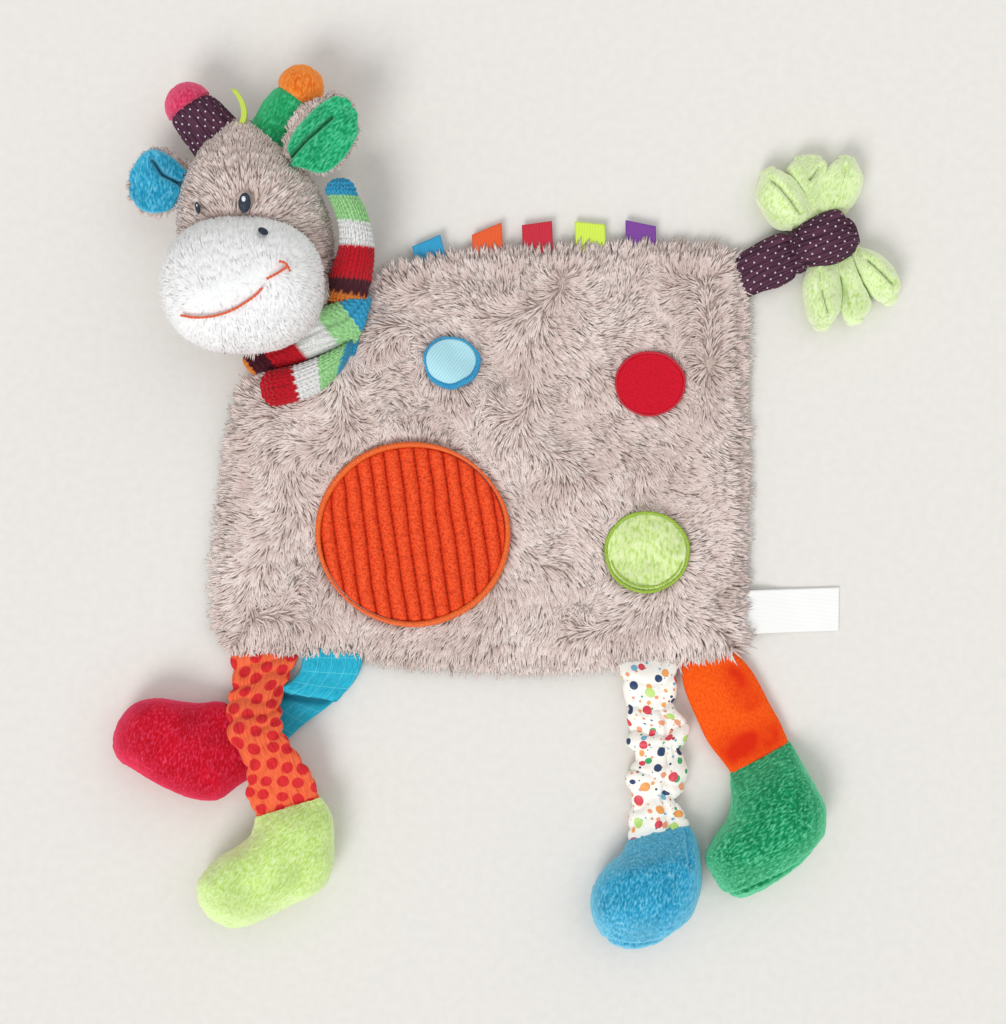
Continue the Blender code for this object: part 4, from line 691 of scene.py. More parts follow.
def dotted_cloth_colour(tree):
    """Orange jersey with red dots about 5.5 mm across, 7.4 mm apart, over fine darker knit lines."""
    lines = add(tree, "TexNoise", {"Vector": on_cloth(tree, 0.0008, 0.006), "Scale": 1.0, "Detail": 2})
    ground = add(tree, "ValToRGB", {0: lines}, stops=((0.3, "DC532C"), (0.6, "F66E44")))
    dots = add(tree, "ValToRGB", {0: lines}, stops=((0.3, "C0161F"), (0.6, "DE2A30")))
    return dots_on(tree, on_cloth(tree, 0.0072, 0.0072, 0.5), 0.365, 0.28, ground, dots)


def turquoise_colour(tree):
    """Turquoise cotton with pale thread lines 6 to 7 mm apart, darkened under its fold by a painted shadow
    from the shade attribute.
    """
    threads = add(tree, "TexNoise", {"Vector": on_cloth(tree, 0.0006, 0.004), "Scale": 1.0, "Detail": 2})
    ground = add(tree, "ValToRGB", {0: threads}, stops=((0.3, "149DBD"), (0.65, "2CC0DD")))
    lines = add(tree, "TexBrick", {
        "Vector": on_cloth(tree, 0.0062, 0.0068), "Color1": "000000", "Color2": "000000", "Mortar": "FFFFFF",
        "Scale": 1.0, "Mortar Size": 0.022, "Mortar Smooth": 0.4, "Brick Width": 1.0, "Row Height": 1.0,
    }, offset=0.0)
    # painted shadow: darker turquoise where the shade attribute marks the fold's underside
    shade = add(tree, "Attribute", out="Fac", attribute_name="shade")
    checked = add(tree, "Mix", {0: lines, 6: ground, 7: "66CFE2"}, **MIXED)
    return add(tree, "Mix", {0: shade, 6: checked, 7: "0A7088"}, **MIXED)


def satin_colour(tree):
    """White satin printed with dots of many colours: three lattices of dots, each smaller and closer."""
    tiny = many_dots(tree, 0.0030, 0.4, -0.16, 0.26, "FBF8F0", (
        (0.0, "E9A080"), (0.3, "A4483C"), (0.45, "7FB9D0"), (0.6, "3FA870"), (0.75, "24406C"),
        (0.85, "E9A080")))
    middling = many_dots(tree, 0.0050, 0.9, -0.10, 0.34, tiny, (
        (0.0, "EFA07A"), (0.3, "78B4D0"), (0.5, "F2A85E"), (0.7, "3CAA6A"), (0.84, "EFA07A")))
    return many_dots(tree, 0.0088, 0.3, 0.16, 0.27, middling, (
        (0.0, "DC3F50"), (0.24, "1F3C66"), (0.46, "BEE07A"), (0.66, "F2A050"), (0.76, "1F3C66"),
        (0.88, "DC3F50")))


def orange_velour_colour(tree):
    """Orange velour, a darker red where the pressed attribute marks its dents as painted shade, with fine knit
    columns.
    """
    pressed = add(tree, "Attribute", out="Fac", attribute_name="pressed")
    columns = add(tree, "TexNoise", {"Vector": on_cloth(tree, 0.0008, 0.0016), "Scale": 1.0, "Detail": 2})
    fine = add(tree, "ValToRGB", {0: columns}, stops=((0.3, "EC4804"), (0.65, "FF6410")))
    # painted shade: the pressed attribute darkens the dents to a deeper red
    return add(tree, "Mix", {0: pressed, 6: fine, 7: "DC2602"}, **MIXED)


def fine_ribs(tree):
    """Ribs about a millimetre apart along a cloth: noise drawn out in their direction."""
    return add(tree, "TexNoise", {"Vector": on_cloth(tree, 0.0008, 0.02), "Scale": 1.0, "Detail": 1})


def pin_dot_colour(tree):
    """Plum ribbed cotton with pale pin dots 0.9 mm across in staggered rows."""
    ribs = add(tree, "ValToRGB", {0: fine_ribs(tree)}, stops=((0.35, "2C1826"), (0.65, "61384E")))
    return dots_on(tree, on_cloth(tree, 0.0036, 0.0036, 0.785), 0.11, 0.25, ribs, "CFC2CC")


def yarn_colour(tree):
    """The scarf's stripe colours with painted shade down in the stitch gaps, mottled a little as spun yarn is.
    """
    stripe = add(tree, "Attribute", out="Color", attribute_name="yarn")
    mottle = add(tree, "TexNoise", {"Vector": in_place(tree, 0.0006), "Scale": 1.0, "Detail": 2})
    fuzz = add(tree, "ValToRGB", {0: mottle}, stops=((0.3, "CFCFCF"), (0.6, "FFFFFF")))
    return add(tree, "Mix", {0: 1.0, 6: stripe, 7: fuzz}, **TIMES)


def corduroy_colour(tree):
    """Orange corduroy: bright fuzzy ribs and dark red grooves, by the ribs' own height; the grooves' dark red
    is painted shade.
    """
    rib = add(tree, "Attribute", out="Fac", attribute_name="rib")
    fuzz = add(tree, "TexNoise", {"Vector": in_place(tree, 0.0009), "Scale": 1.0, "Detail": 3})
    # painted shade: the lower the rib height, the darker red the colour
    tone = add(tree, "ValToRGB", {0: rib}, stops=((0.16, "A82408"), (0.50, "F0481A"), (1.0, "FC5E30")))
    speck = add(tree, "ValToRGB", {0: fuzz}, stops=((0.35, "CE8A7A"), (0.58, "FFFFFF")))
    fuzzy = add(tree, "Mix", {0: 1.0, 6: tone, 7: speck}, **TIMES)
    return add(tree, "Mix", {0: 0.8, 6: tone, 7: fuzzy}, **MIXED)


# Long-pile plush and its backing: matt, with dark gaps between pale tips, the locks' roots darkened by painted
# shade
TAUPE_PILE = pile_material("taupe_long_pile_plush", "A6938A", "E0CEC8", "FDF2EE", "D6CAC5")
WHITE_PILE = pile_material("white_long_pile_plush", "F8FAFA", "FFFFFF", "FFFFFF", "F9FBFB", 0.2,
                           ("F4F6F6", "FDFDFD", "FFFFFF"))
TAUPE_BACKING = plain_material("taupe_plush_backing", "B5A299", "C9B7AE", 0.95, 0.0012)
WHITE_BACKING = plain_material("white_plush_backing", "F0F3F2", "FBFCFC", 0.95, 0.0012)
# Appliques
CORDUROY = finish("orange_wide_rib_corduroy", 0.9, corduroy_colour, lambda tree: add(
    tree, "TexNoise", {"Vector": in_place(tree, 0.0008), "Scale": 1.0, "Detail": 3}
), 0.0006, sheen=0.2, sheen_tint="FF9A70", specular=0.2)
PALE_BLUE_CLOTH = ribbed_material("pale_blue_twill", "A2D9E6", "BCE9F2", 0.75, 0.0012, 0.62, 0.00012,
                                  uv=False)
RED_VELOUR = plain_material("red_flat_velour", "BC0420", "D60428", 0.8, 0.0009, 0.00012, sheen=0.04,
                            specular=0.25)
LIME_FLEECE = minky_material("lime_short_fleece", "BCDC74", "DDF2A4", "F2FBCB", 0.0012)
ORANGE_THREAD = plain_material("orange_embroidery_thread", "DE4F12", "F47423", 0.5, 0.0006, 0.0002)
BLUE_THREAD = plain_material("blue_embroidery_thread", "1B86B6", "35A8D6", 0.45, 0.0006, 0.0002)
RED_THREAD = plain_material("red_embroidery_thread", "B00A24", "D2102E", 0.45, 0.0006, 0.0002)
GREEN_THREAD = plain_material("green_embroidery_thread", "86A82C", "A9C944", 0.5, 0.0006, 0.0002)
NAVY_THREAD = plain_material("navy_embroidery_thread", "0D1828", "1D3048", 0.4, 0.0005, 0.0002)
CORAL_THREAD = plain_material("coral_embroidery_thread", "CF4F2A", "EE7046", 0.5, 0.0006, 0.0002)
WHITE_THREAD = plain_material("white_embroidery_thread", "DDE3E6", "FAFCFC", 0.45, 0.0005, 0.0002)
# Ribbons: smooth woven tape with a soft shine
RIBBON = {
    key: ribbed_material(key + "_woven_ribbon", dark, light, 0.42, 0.0007, depth=0.00008)
    for key, dark, light in (
        ("blue", "1788BB", "27A8D8"), ("orange", "DA4A10", "F26224"), ("red", "B40C28", "D61838"),
        ("yellow", "C6E23C", "DCF65A"), ("purple", "6B3089", "8440A6"), ("lime", "AEC63A", "D2E45A"),
    )
}
LABEL_SATIN = ribbed_material("white_satin_label_tape", "F1F1EF", "FEFEFC", 0.35, 0.0006, depth=0.00004)
# Legs
DOTTED_JERSEY = finish("orange_dotted_jersey", 0.85, dotted_cloth_colour, weave, 0.00025, sheen=0.1,
                       specular=0.25)
TURQUOISE_COTTON = finish("turquoise_checked_cotton", 0.8, turquoise_colour, weave, 0.0003, specular=0.3)
DOTTED_SATIN = finish("white_printed_satin", 0.45, satin_colour, weave, 0.0001, specular=0.5)
ORANGE_VELOUR = finish("orange_pressed_velour", 0.85, orange_velour_colour, weave, 0.0003, sheen=0.08,
                       sheen_tint="FF8A3A", specular=0.2)
LIME_MINKY = minky_material("lime_velour_minky", "B9DE72", "D2F08E", "EAFCC0", turn=0.6)
RED_MINKY = minky_material("red_velour_minky", "C20420", "D60628", "EC4468", 0.0008, turn=0.3)
BLUE_MINKY = minky_material("blue_velour_minky", "1685AE", "2EA3CC", "86D2EE", turn=0.2)
GREEN_MINKY = minky_material("green_velour_minky", "067548", "129A62", "74DCA8", turn=0.9)
# Ears, horns, scarf and tail
EAR_BLUE = minky_material("blue_ear_velour", "1684AC", "2CA4CC", "7CCFE8")
EAR_GREEN = minky_material("green_ear_velour", "0E8A58", "22B276", "6EDDAA", turn=0.8)
HORN_GREEN = minky_material("green_horn_velour", "158A4E", "22A968", "4FC98B", turn=0.5)
HORN_PINK = minky_material("pink_horn_velour", "BC2148", "DB3560", "F06A8C")
HORN_ORANGE = minky_material("orange_horn_velour", "DE5F12", "F27F26", "FFA050")
TAIL_LIME = minky_material("lime_tail_minky", "C2E48A", "E2F8B2", "F4FDDA", 0.0009, turn=0.4)
PLUM_COTTON = finish("plum_pin_dot_cotton", 0.85, pin_dot_colour, fine_ribs, 0.0004, specular=0.25)
STRIPED_YARN = finish("striped_acrylic_knit", 0.9, yarn_colour, lambda tree: add(
    tree, "TexNoise", {"Vector": in_place(tree, 0.0005), "Scale": 1.0, "Detail": 2}
), 0.0002, sheen=0.2, specular=0.2)


# ------------------------------------------------------------------ pieces
def piece(name, mesh, material, body, nodes=()):
    """Adds a piece with its place in its mesh, riding on its body (if it has one) and standing for its
    solids."""
    mesh.materials.append(material)
    made = bpy.data.objects.new(name, mesh)
    bpy.context.scene.collection.objects.link(made)
    if body:
        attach(made, body)
    if nodes:
        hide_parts(*nodes)
    return made


# Places along a lock with its width there as a share, to a point at the tip
LONG_RINGS = ((0.0, 0.8), (0.4, 1.0), (0.78, 0.75), (1.0, 0))
SHORT_RINGS = ((0.0, 1.0), (0.55, 0.8), (1.0, 0))
LOCKS_PER_PIECE = 12000
FRONT_LOCKS, BACK_LOCKS, HEAD_LOCKS, MUZZLE_LOCKS, EAR_LOCKS = 40000, 9000, 15500, 15000, 2400


def fur(name, roots, normals, leans, lengths, width, material, body, seed, stand=0.36, gather=0.6,
        pitch=0.0042,
        rings=LONG_RINGS, stray=0.26, soft=0.0):
    """A coat of pile in pieces small enough to export."""
    for part, start in enumerate(range(0, len(roots), LOCKS_PER_PIECE)):
        pick = slice(start, start + LOCKS_PER_PIECE)
        mesh = locks_mesh(f"{name}_{part + 1}", roots[pick], normals[pick], leans[pick], lengths[pick], width,
                          seed + part, stand, gather, pitch, rings, stray, soft)
        piece(f"{name}_{part + 1}", mesh, material, body)


def grid_triangles(rows, sides, closed=True):
    """Triangles of a grid of points, wrapped round if closed."""
    k, j = pairs(rows - 1, sides if closed else sides - 1)
    far = (j + 1) % sides
    a, b, c, d = k * sides + j, k * sides + far, (k + 1) * sides + far, (k + 1) * sides + j
    return np.vstack([np.column_stack([a, b, c]), np.column_stack([a, c, d])])


def in_spot(plan, spare):
    """True where a place lies inside one of the appliques, made larger by spare."""
    inside = np.zeros(len(plan), bool)
    for centre, radii in SPOTS.values():
        inside |= (((plan - in_body(centre)) / (np.array(radii) + spare)) ** 2).sum(axis=1) < 1
    return inside


def make_body():
    """Two sewn plush panels as one pillow: heights over the outline's Coons patch, the pile in slow swirls."""
    n, m = 150, 120
    u, v = (grid.ravel() for grid in np.meshgrid(np.linspace(0, 1, n), np.linspace(0, 1, m), indexing="ij"))
    plan = panel_plan(u, v)
    inside = rim_ease(plan)
    flat = on_table(plan)
    wave = 0.0007 * lumps(flat, 0.013, 3) * inside
    top = np.column_stack([plan, front_level(plan, 0.0024) - 0.0007 * inside + wave])
    low = BACK_THICK + neck_rise(plan) - 0.0016 * (RIM_SHARE + (1 - RIM_SHARE) * inside)
    bottom = np.column_stack([plan, low])
    edge = (u == 0) | (u == 1) | (v == 0) | (v == 1)
    top[edge, 2] = bottom[edge, 2] = SEAM_LEVEL + neck_rise(plan[edge])
    mesh = pillow("body_plush", top.reshape(n, m, 3), bottom.reshape(n, m, 3))
    piece("body_plush", mesh, TAUPE_BACKING, "blanket",
          ("body_front_panel", "body_back_panel"))

    triangles = grid_triangles(n, m, closed=False)
    roots, normals = scatter(top, triangles, FRONT_LOCKS, 11)
    normals *= np.sign(normals[:, 2:3])
    # Ribbons and the label are sewn in here, so the pile keeps a little further from the rim
    sewn = np.array([JOINTS[name]["pos_m"][:2] for name in JOINTS if "_tab_" in name or name == "label_lift"])
    by_tab = np.linalg.norm(roots[:, None, :2] - sewn[None], axis=2).min(axis=1) < 0.0095
    inner = np.linalg.norm(nearest_outline(roots[:, :2]) - roots[:, :2], axis=1) > 0.0007 + 0.0018 * by_tab
    roots, normals = (part[~in_spot(roots[:, :2], -0.0020) & inner] for part in (roots, normals))
    plan = roots[:, :2]
    away = nearest_outline(plan) - plan
    near_rim = ease(1 - np.linalg.norm(away, axis=1) / 0.020)[:, None]
    flat = on_table(plan)
    angle = -1.9 + 3.0 * lumps(flat, 0.046, 5) + 1.5 * lumps(flat, 0.017, 6) + 0.6 * lumps(flat, 0.007, 8)
    step = 0.001
    slope = np.column_stack([
        fold_rise(plan + (step, 0)) - fold_rise(plan - (step, 0)),
        fold_rise(plan + (0, step)) - fold_rise(plan - (0, step)),
    ]) / (2 * step)
    aside = np.zeros_like(plan)
    for centre, radii in SPOTS.values():
        off = (plan - in_body(centre)) / np.array(radii)
        aside += off * bell(np.linalg.norm(off, axis=1) - 1, 0.0035 / min(radii))[:, None] * 0.8
    outward = (plan - in_body((0.52, 0.5))) / 0.12
    sweep = np.column_stack([np.cos(angle), np.sin(angle)]) * (1 - near_rim) + unit(away) * near_rim * 1.5
    sweep -= 1.2 * slope * (1 - near_rim)
    sweep += aside + 0.55 * outward
    # Over the dotted leg and the satin leg the pile stands out over the sleeve instead of swirling
    over_leg = (ease((0.036 - np.abs(plan[:, 0] + 0.095)) / 0.006)
                + ease((0.034 - np.abs(plan[:, 0] - 0.076)) / 0.006))
    lifted = over_leg * (plan[:, 1] < -0.045) * ease(1.3 - np.linalg.norm(away, axis=1) / 0.010)
    sweep = unit(sweep) * (1 - lifted[:, None]) + unit(away) * lifted[:, None]
    leans = np.column_stack([sweep, np.zeros(len(sweep))])
    near = ease(1 - np.linalg.norm(away, axis=1) / 0.008)
    normals = unit(normals * (1 - lifted[:, None]) + np.outer(lifted + 0.7 * near, (0, 0, 1)))
    lengths = 0.0068 - 0.0004 * near + (0.0032 * (plan[:, 0] > 0) - 0.0010) * lifted
    fur("body_front_pile", roots, normals, leans, lengths, 0.00145, TAUPE_PILE, "blanket", 21,
        stand=0.32, gather=0.55, pitch=0.0046, stray=0.13)

    roots, normals = scatter(bottom, triangles, BACK_LOCKS, 12)
    normals *= -np.sign(normals[:, 2:3])
    angle = 1.2 + 2.6 * lumps(on_table(roots[:, :2]), 0.05, 9)
    leans = np.column_stack([np.cos(angle), np.sin(angle), np.zeros(len(angle))])
    fur("body_back_pile", roots, normals, leans, np.full(len(roots), 0.0062), 0.0016, TAUPE_PILE, "blanket",
        31, stand=0.22, rings=SHORT_RINGS)


def spot_grid(name, count, spare):
    """A spot's grid: its shares, its places on the table and the body's height there."""
    centre, radii = SPOTS[name]
    x, y = disc_shares(count)
    plan = in_body(centre) + np.column_stack([x.ravel(), y.ravel()]) * (np.array(radii) - spare)
    return x, y, plan, front_level(plan).reshape(count, count)


def make_spot(name, count, spare, relief, material, slot, **shades):
    """One applique: the body's height, plus the cloth's thickness rounded off at its rim, plus its own
    relief."""
    x, y, plan, level = spot_grid(name, count, spare)
    inside = 1 - np.sqrt(x * x + y * y)
    crown = np.sqrt(np.clip(1 - (1 - np.clip(inside / 0.10, 0, 1)) ** 2, 0, 1))
    top = level + SPOT_THICK + 0.0013 * crown + relief(plan).reshape(count, count) * crown
    under = level + SPOT_THICK - 0.0006 * crown
    grid = plan.reshape(count, count, 2)
    mesh = pillow(name + "_spot_cloth", np.dstack([grid, top]), np.dstack([grid, under]), **shades)
    piece(name + "_spot_cloth", mesh, material, "blanket", (name + "_spot",))


def edging(name, piece_name, radius_share, girth, rise, material, nodes=(), start=0.0, span=2 * math.pi,
           sway=0.0):
    """A satin-stitched line round a spot: a tube along the ellipse, its threads as ripples 0.9 mm apart."""
    centre, radii = SPOTS[name]
    whole = span >= 2 * math.pi
    turn = np.linspace(start, start + span, 700, endpoint=not whole)
    wobble = 1 + sway * np.sin(3 * turn + 1) + sway * 0.6 * np.sin(7 * turn)
    ellipse = np.column_stack([np.cos(turn), np.sin(turn)]) * np.array(radii)
    plan = in_body(centre) + ellipse * (radius_share * wobble)[:, None]
    path = np.column_stack([plan, front_level(plan) + rise])
    mesh = tube(piece_name, cord_rings(path, girth(turn) if callable(girth) else girth, whole, 0.10),
                ring=whole)
    piece(piece_name, mesh, material, "blanket", nodes)


def make_spots():
    """Four appliques, unlike in cloth, each inside its stitched line."""
    lean, rib_pitch, count, spare = math.radians(8), 0.0065, 180, 0.0022
    flat_lumps = lambda plan, pitch, seed: lumps(on_table(plan), pitch, seed)

    def ribs(plan):
        """Thirteen leaning ribs: a sine raised so that the ribs are broad and the grooves narrow."""
        slow = flat_lumps(plan, 0.011, 14)
        across = (plan[:, 0] * math.cos(lean) + plan[:, 1] * math.sin(lean)) + 0.0006 * slow
        return np.abs(np.sin(math.pi * across / rib_pitch)) ** 0.6

    plan = spot_grid("orange", count, spare)[2]
    make_spot("orange", count, spare, lambda p: 0.0020 * (ribs(p) - 0.6) + 0.00035 * flat_lumps(p, 0.0016, 4),
              CORDUROY, "orange_corduroy", rib=ribs(plan).reshape(count, count))
    edging("orange", "orange_spot_stitching", 0.972, lambda t: 0.0006 + 0.0009 * np.abs(np.cos(t - 2.3)),
           0.0019,
           ORANGE_THREAD, ("orange_spot_edging",), sway=0.003)
    make_spot("blue", 70, 0.0009, lambda p: 0.0002 * flat_lumps(p, 0.004, 2), PALE_BLUE_CLOTH,
              "pale_blue_cloth")
    edging("blue", "blue_spot_stitching", 0.95,
           lambda t: 0.0006 + 0.0009 * np.clip(-np.sin(t - 0.5), 0, 1) ** 0.7, 0.0016,
           BLUE_THREAD, ("blue_spot_edging",), sway=0.025)
    make_spot("red", 90, 0.0006, lambda p: 0.00015 * flat_lumps(p, 0.003, 2), RED_VELOUR, "red_velour")
    edging("red", "red_spot_stitching", 0.965, 0.0006, 0.0015, RED_THREAD, ("red_spot_edging",),
           sway=0.008)
    make_spot("lime", 90, 0.0009, lambda p: 0.0003 * flat_lumps(p, 0.0016, 2), LIME_FLEECE, "lime_cloth")
    edging("lime", "lime_spot_stitching", 0.965, 0.0008, 0.0016, GREEN_THREAD,
           ("lime_spot_edging",), sway=0.01)
    edging("lime", "lime_spot_inner_stitching", 0.86, 0.0004, 0.0024, GREEN_THREAD, start=3.4,
           span=2.6)


def direction_of(joint):
    """The level direction that a flap on this hinge points in."""
    axis = np.array(joint["axis"])
    return np.array((-axis[1], axis[0]))


def make_strip(name, node, joint_name, width, reach, material, lift=0.0006, wave=0.0002, drop=0.0,
               curl=0.0,
               start=-SEAM_DEPTH, thick=0.0004, turn=0.0):
    """A folded ribbon: a sheet carried out along the strip, round its fold and back, its two layers a
    little apart."""
    joint = JOINTS[joint_name]
    spot, out = np.array(joint["pos_m"]), direction_of(joint)
    out = np.array((out[0] * math.cos(turn) - out[1] * math.sin(turn),
                    out[0] * math.sin(turn) + out[1] * math.cos(turn)))
    side = np.array((out[1], -out[0]))
    rows, columns = 56, 22
    way = np.linspace(0, 2, rows)
    along = 1 - np.abs(1 - way) ** 1.6
    layer = np.cos(np.clip((way - 0.86) / 0.28, 0, 1) * math.pi)
    across = np.linspace(-0.5, 0.5, columns)
    length = reach[0] + (reach[1] - reach[0]) * (across + 0.5)
    outward = start + (length[None, :] - start) * along[:, None]
    bend = curl * (2.2 * along[:, None] ** 2 - 1.6 * along[:, None])
    plan = spot[:2] + out * outward[..., None] + side * (across[None, :, None] * width + bend[..., None])
    flat = np.dstack([plan, np.zeros(plan.shape[:2])])
    level = spot[2] + lift * layer[:, None] * np.ones(columns) + wave * lumps(flat, 0.006, 3)
    level -= drop * ease(along * 1.6)[:, None]
    points = np.dstack([plan, np.maximum(level, 0.0004)])
    quads = quads_of(np.arange(rows * columns).reshape(rows, columns))
    u, v = np.meshgrid(across * width, way * max(reach), indexing="xy")
    places = np.dstack([u, v]).reshape(-1, 2)[quads]
    mesh = surface(name, points.reshape(-1, 3), (quads,), [places])
    made = piece(name, mesh, material, joint["child"], (node,))
    wall = made.modifiers.new("tape", "SOLIDIFY")
    wall.thickness, wall.offset = thick, 0


def make_tabs():
    """Five ribbons, unlike in how far each side shows, the bare care label and the lime forelock."""
    short, long = 0.0050, 0.0128
    for name, left_share, right_share in (("blue", 0.5, 1.2), ("orange", 0.9, 2.4), ("red", 1.9, 2.3),
                                          ("yellow", 2.1, 1.5), ("purple", 1.9, 1.0)):
        reach = [short + (long - short) * share / 2.4 for share in (left_share, right_share)]
        make_strip(name + "_ribbon", name + "_ribbon_tab", name + "_tab_bend", 0.0135, reach, RIBBON[name])
    make_strip("white_label", "care_label", "label_lift", 0.0195, (0.0445, 0.0435), LABEL_SATIN,
               lift=0.0003, drop=0.0030, wave=0.00025, thick=0.0003, turn=0.09)
    make_strip("forelock", "forelock_ribbon", "forelock_lift", 0.0024, (0.0145, 0.0145), RIBBON["lime"],
               lift=0.0012, curl=-0.0065)


def leg_stations(hip_name, seam_share, width, length, thick, shares, lift=0.0, half=0.0015):
    """A leg's stations, from its hip's own axis: the first is the seam line, and a seventh share lifts a
    station."""
    joint = JOINTS[hip_name]
    origin, along = np.array(joint["pos_m"][:2]), np.array(joint["axis"][:2])
    along = along if along[0] > 0 else -along
    stations = stations_at(origin, width, length, thick, 0, shares)
    if len(shares[0]) > 6:
        stations[:, 4:6] += lift * np.asarray([row[6] for row in shares])[:, None]
    side = along * seam_share * BODY_SIZE[0] / 2
    stations[0] = (*(origin - side), *(origin + side), SEAM_LEVEL - half, SEAM_LEVEL + half)
    return stations


def leg_points(stations, rows, sides):
    """A sleeve's sections, run on into the body's pile above and into the foot's mouth below."""
    last = stations[-1].copy()
    last[0:4] += np.tile(away_from(last, stations[-2]), 2) * 0.0030
    whole = rounded(np.vstack([stations, last])[::-1], 0.0022, 3)[::-1]
    return loft(rounded(whole, 0.0030, 3), rows, sides, 2.6)


def pressed_out(points, height):
    """The points moved out along their normals by the given heights, and never below the table."""
    moved = points + normals_of(points) * height[..., None]
    moved[..., 2] = np.maximum(moved[..., 2], TABLE_GAP)
    return moved


def foot_points(stations, width, length, thick, shares, turned=False):
    """A foot's sections from its ankle, starting in a mouth just wider than the leg's end."""
    last = stations[-1]
    ankle = (last[0:2] + last[2:4]) / 2
    size = (length, width) if turned else (width, length)
    table = stations_at(ankle, size[0], size[1], thick, 0, shares)
    level = (last[4] + last[5]) / 2
    mouth = last.copy()
    centre = np.tile(ankle, 2)
    mouth[0:4] = centre + (mouth[0:4] - centre) * 1.03 + np.tile(away_from(last, stations[-2]), 2) * 0.0026
    mouth[4:6] = max(level - 0.0044, 0.0004), level + 0.0044
    return loft(rounded(np.vstack([mouth, table]), 0.0008, 2), 120, 160)


def plush_foot(name, points, material, body, nodes, seed, seams=(), pile=0.0003):
    """A stuffed velour foot: pile lumps a millimetre apart, and a groove along each sewn line on its upper
    side."""
    rows, sides = points.shape[:2]
    share = np.linspace(0, 1, rows)[:, None] * np.ones(sides)
    height = pile * lumps(points, SMALL_PILE, seed) + 0.0005 * lumps(points, 0.011, seed + 1)
    upper = ease((points[..., 2] - 0.006) / 0.003)
    for line in seams:
        off = off_line(points, line)
        height = height - 0.0017 * bell(off, 0.0009) * upper + 0.0006 * bell(off, 0.0035) * upper
    height *= ease(share / 0.02)
    piece(name, tube(name, pressed_out(points, height)), material, body, nodes)


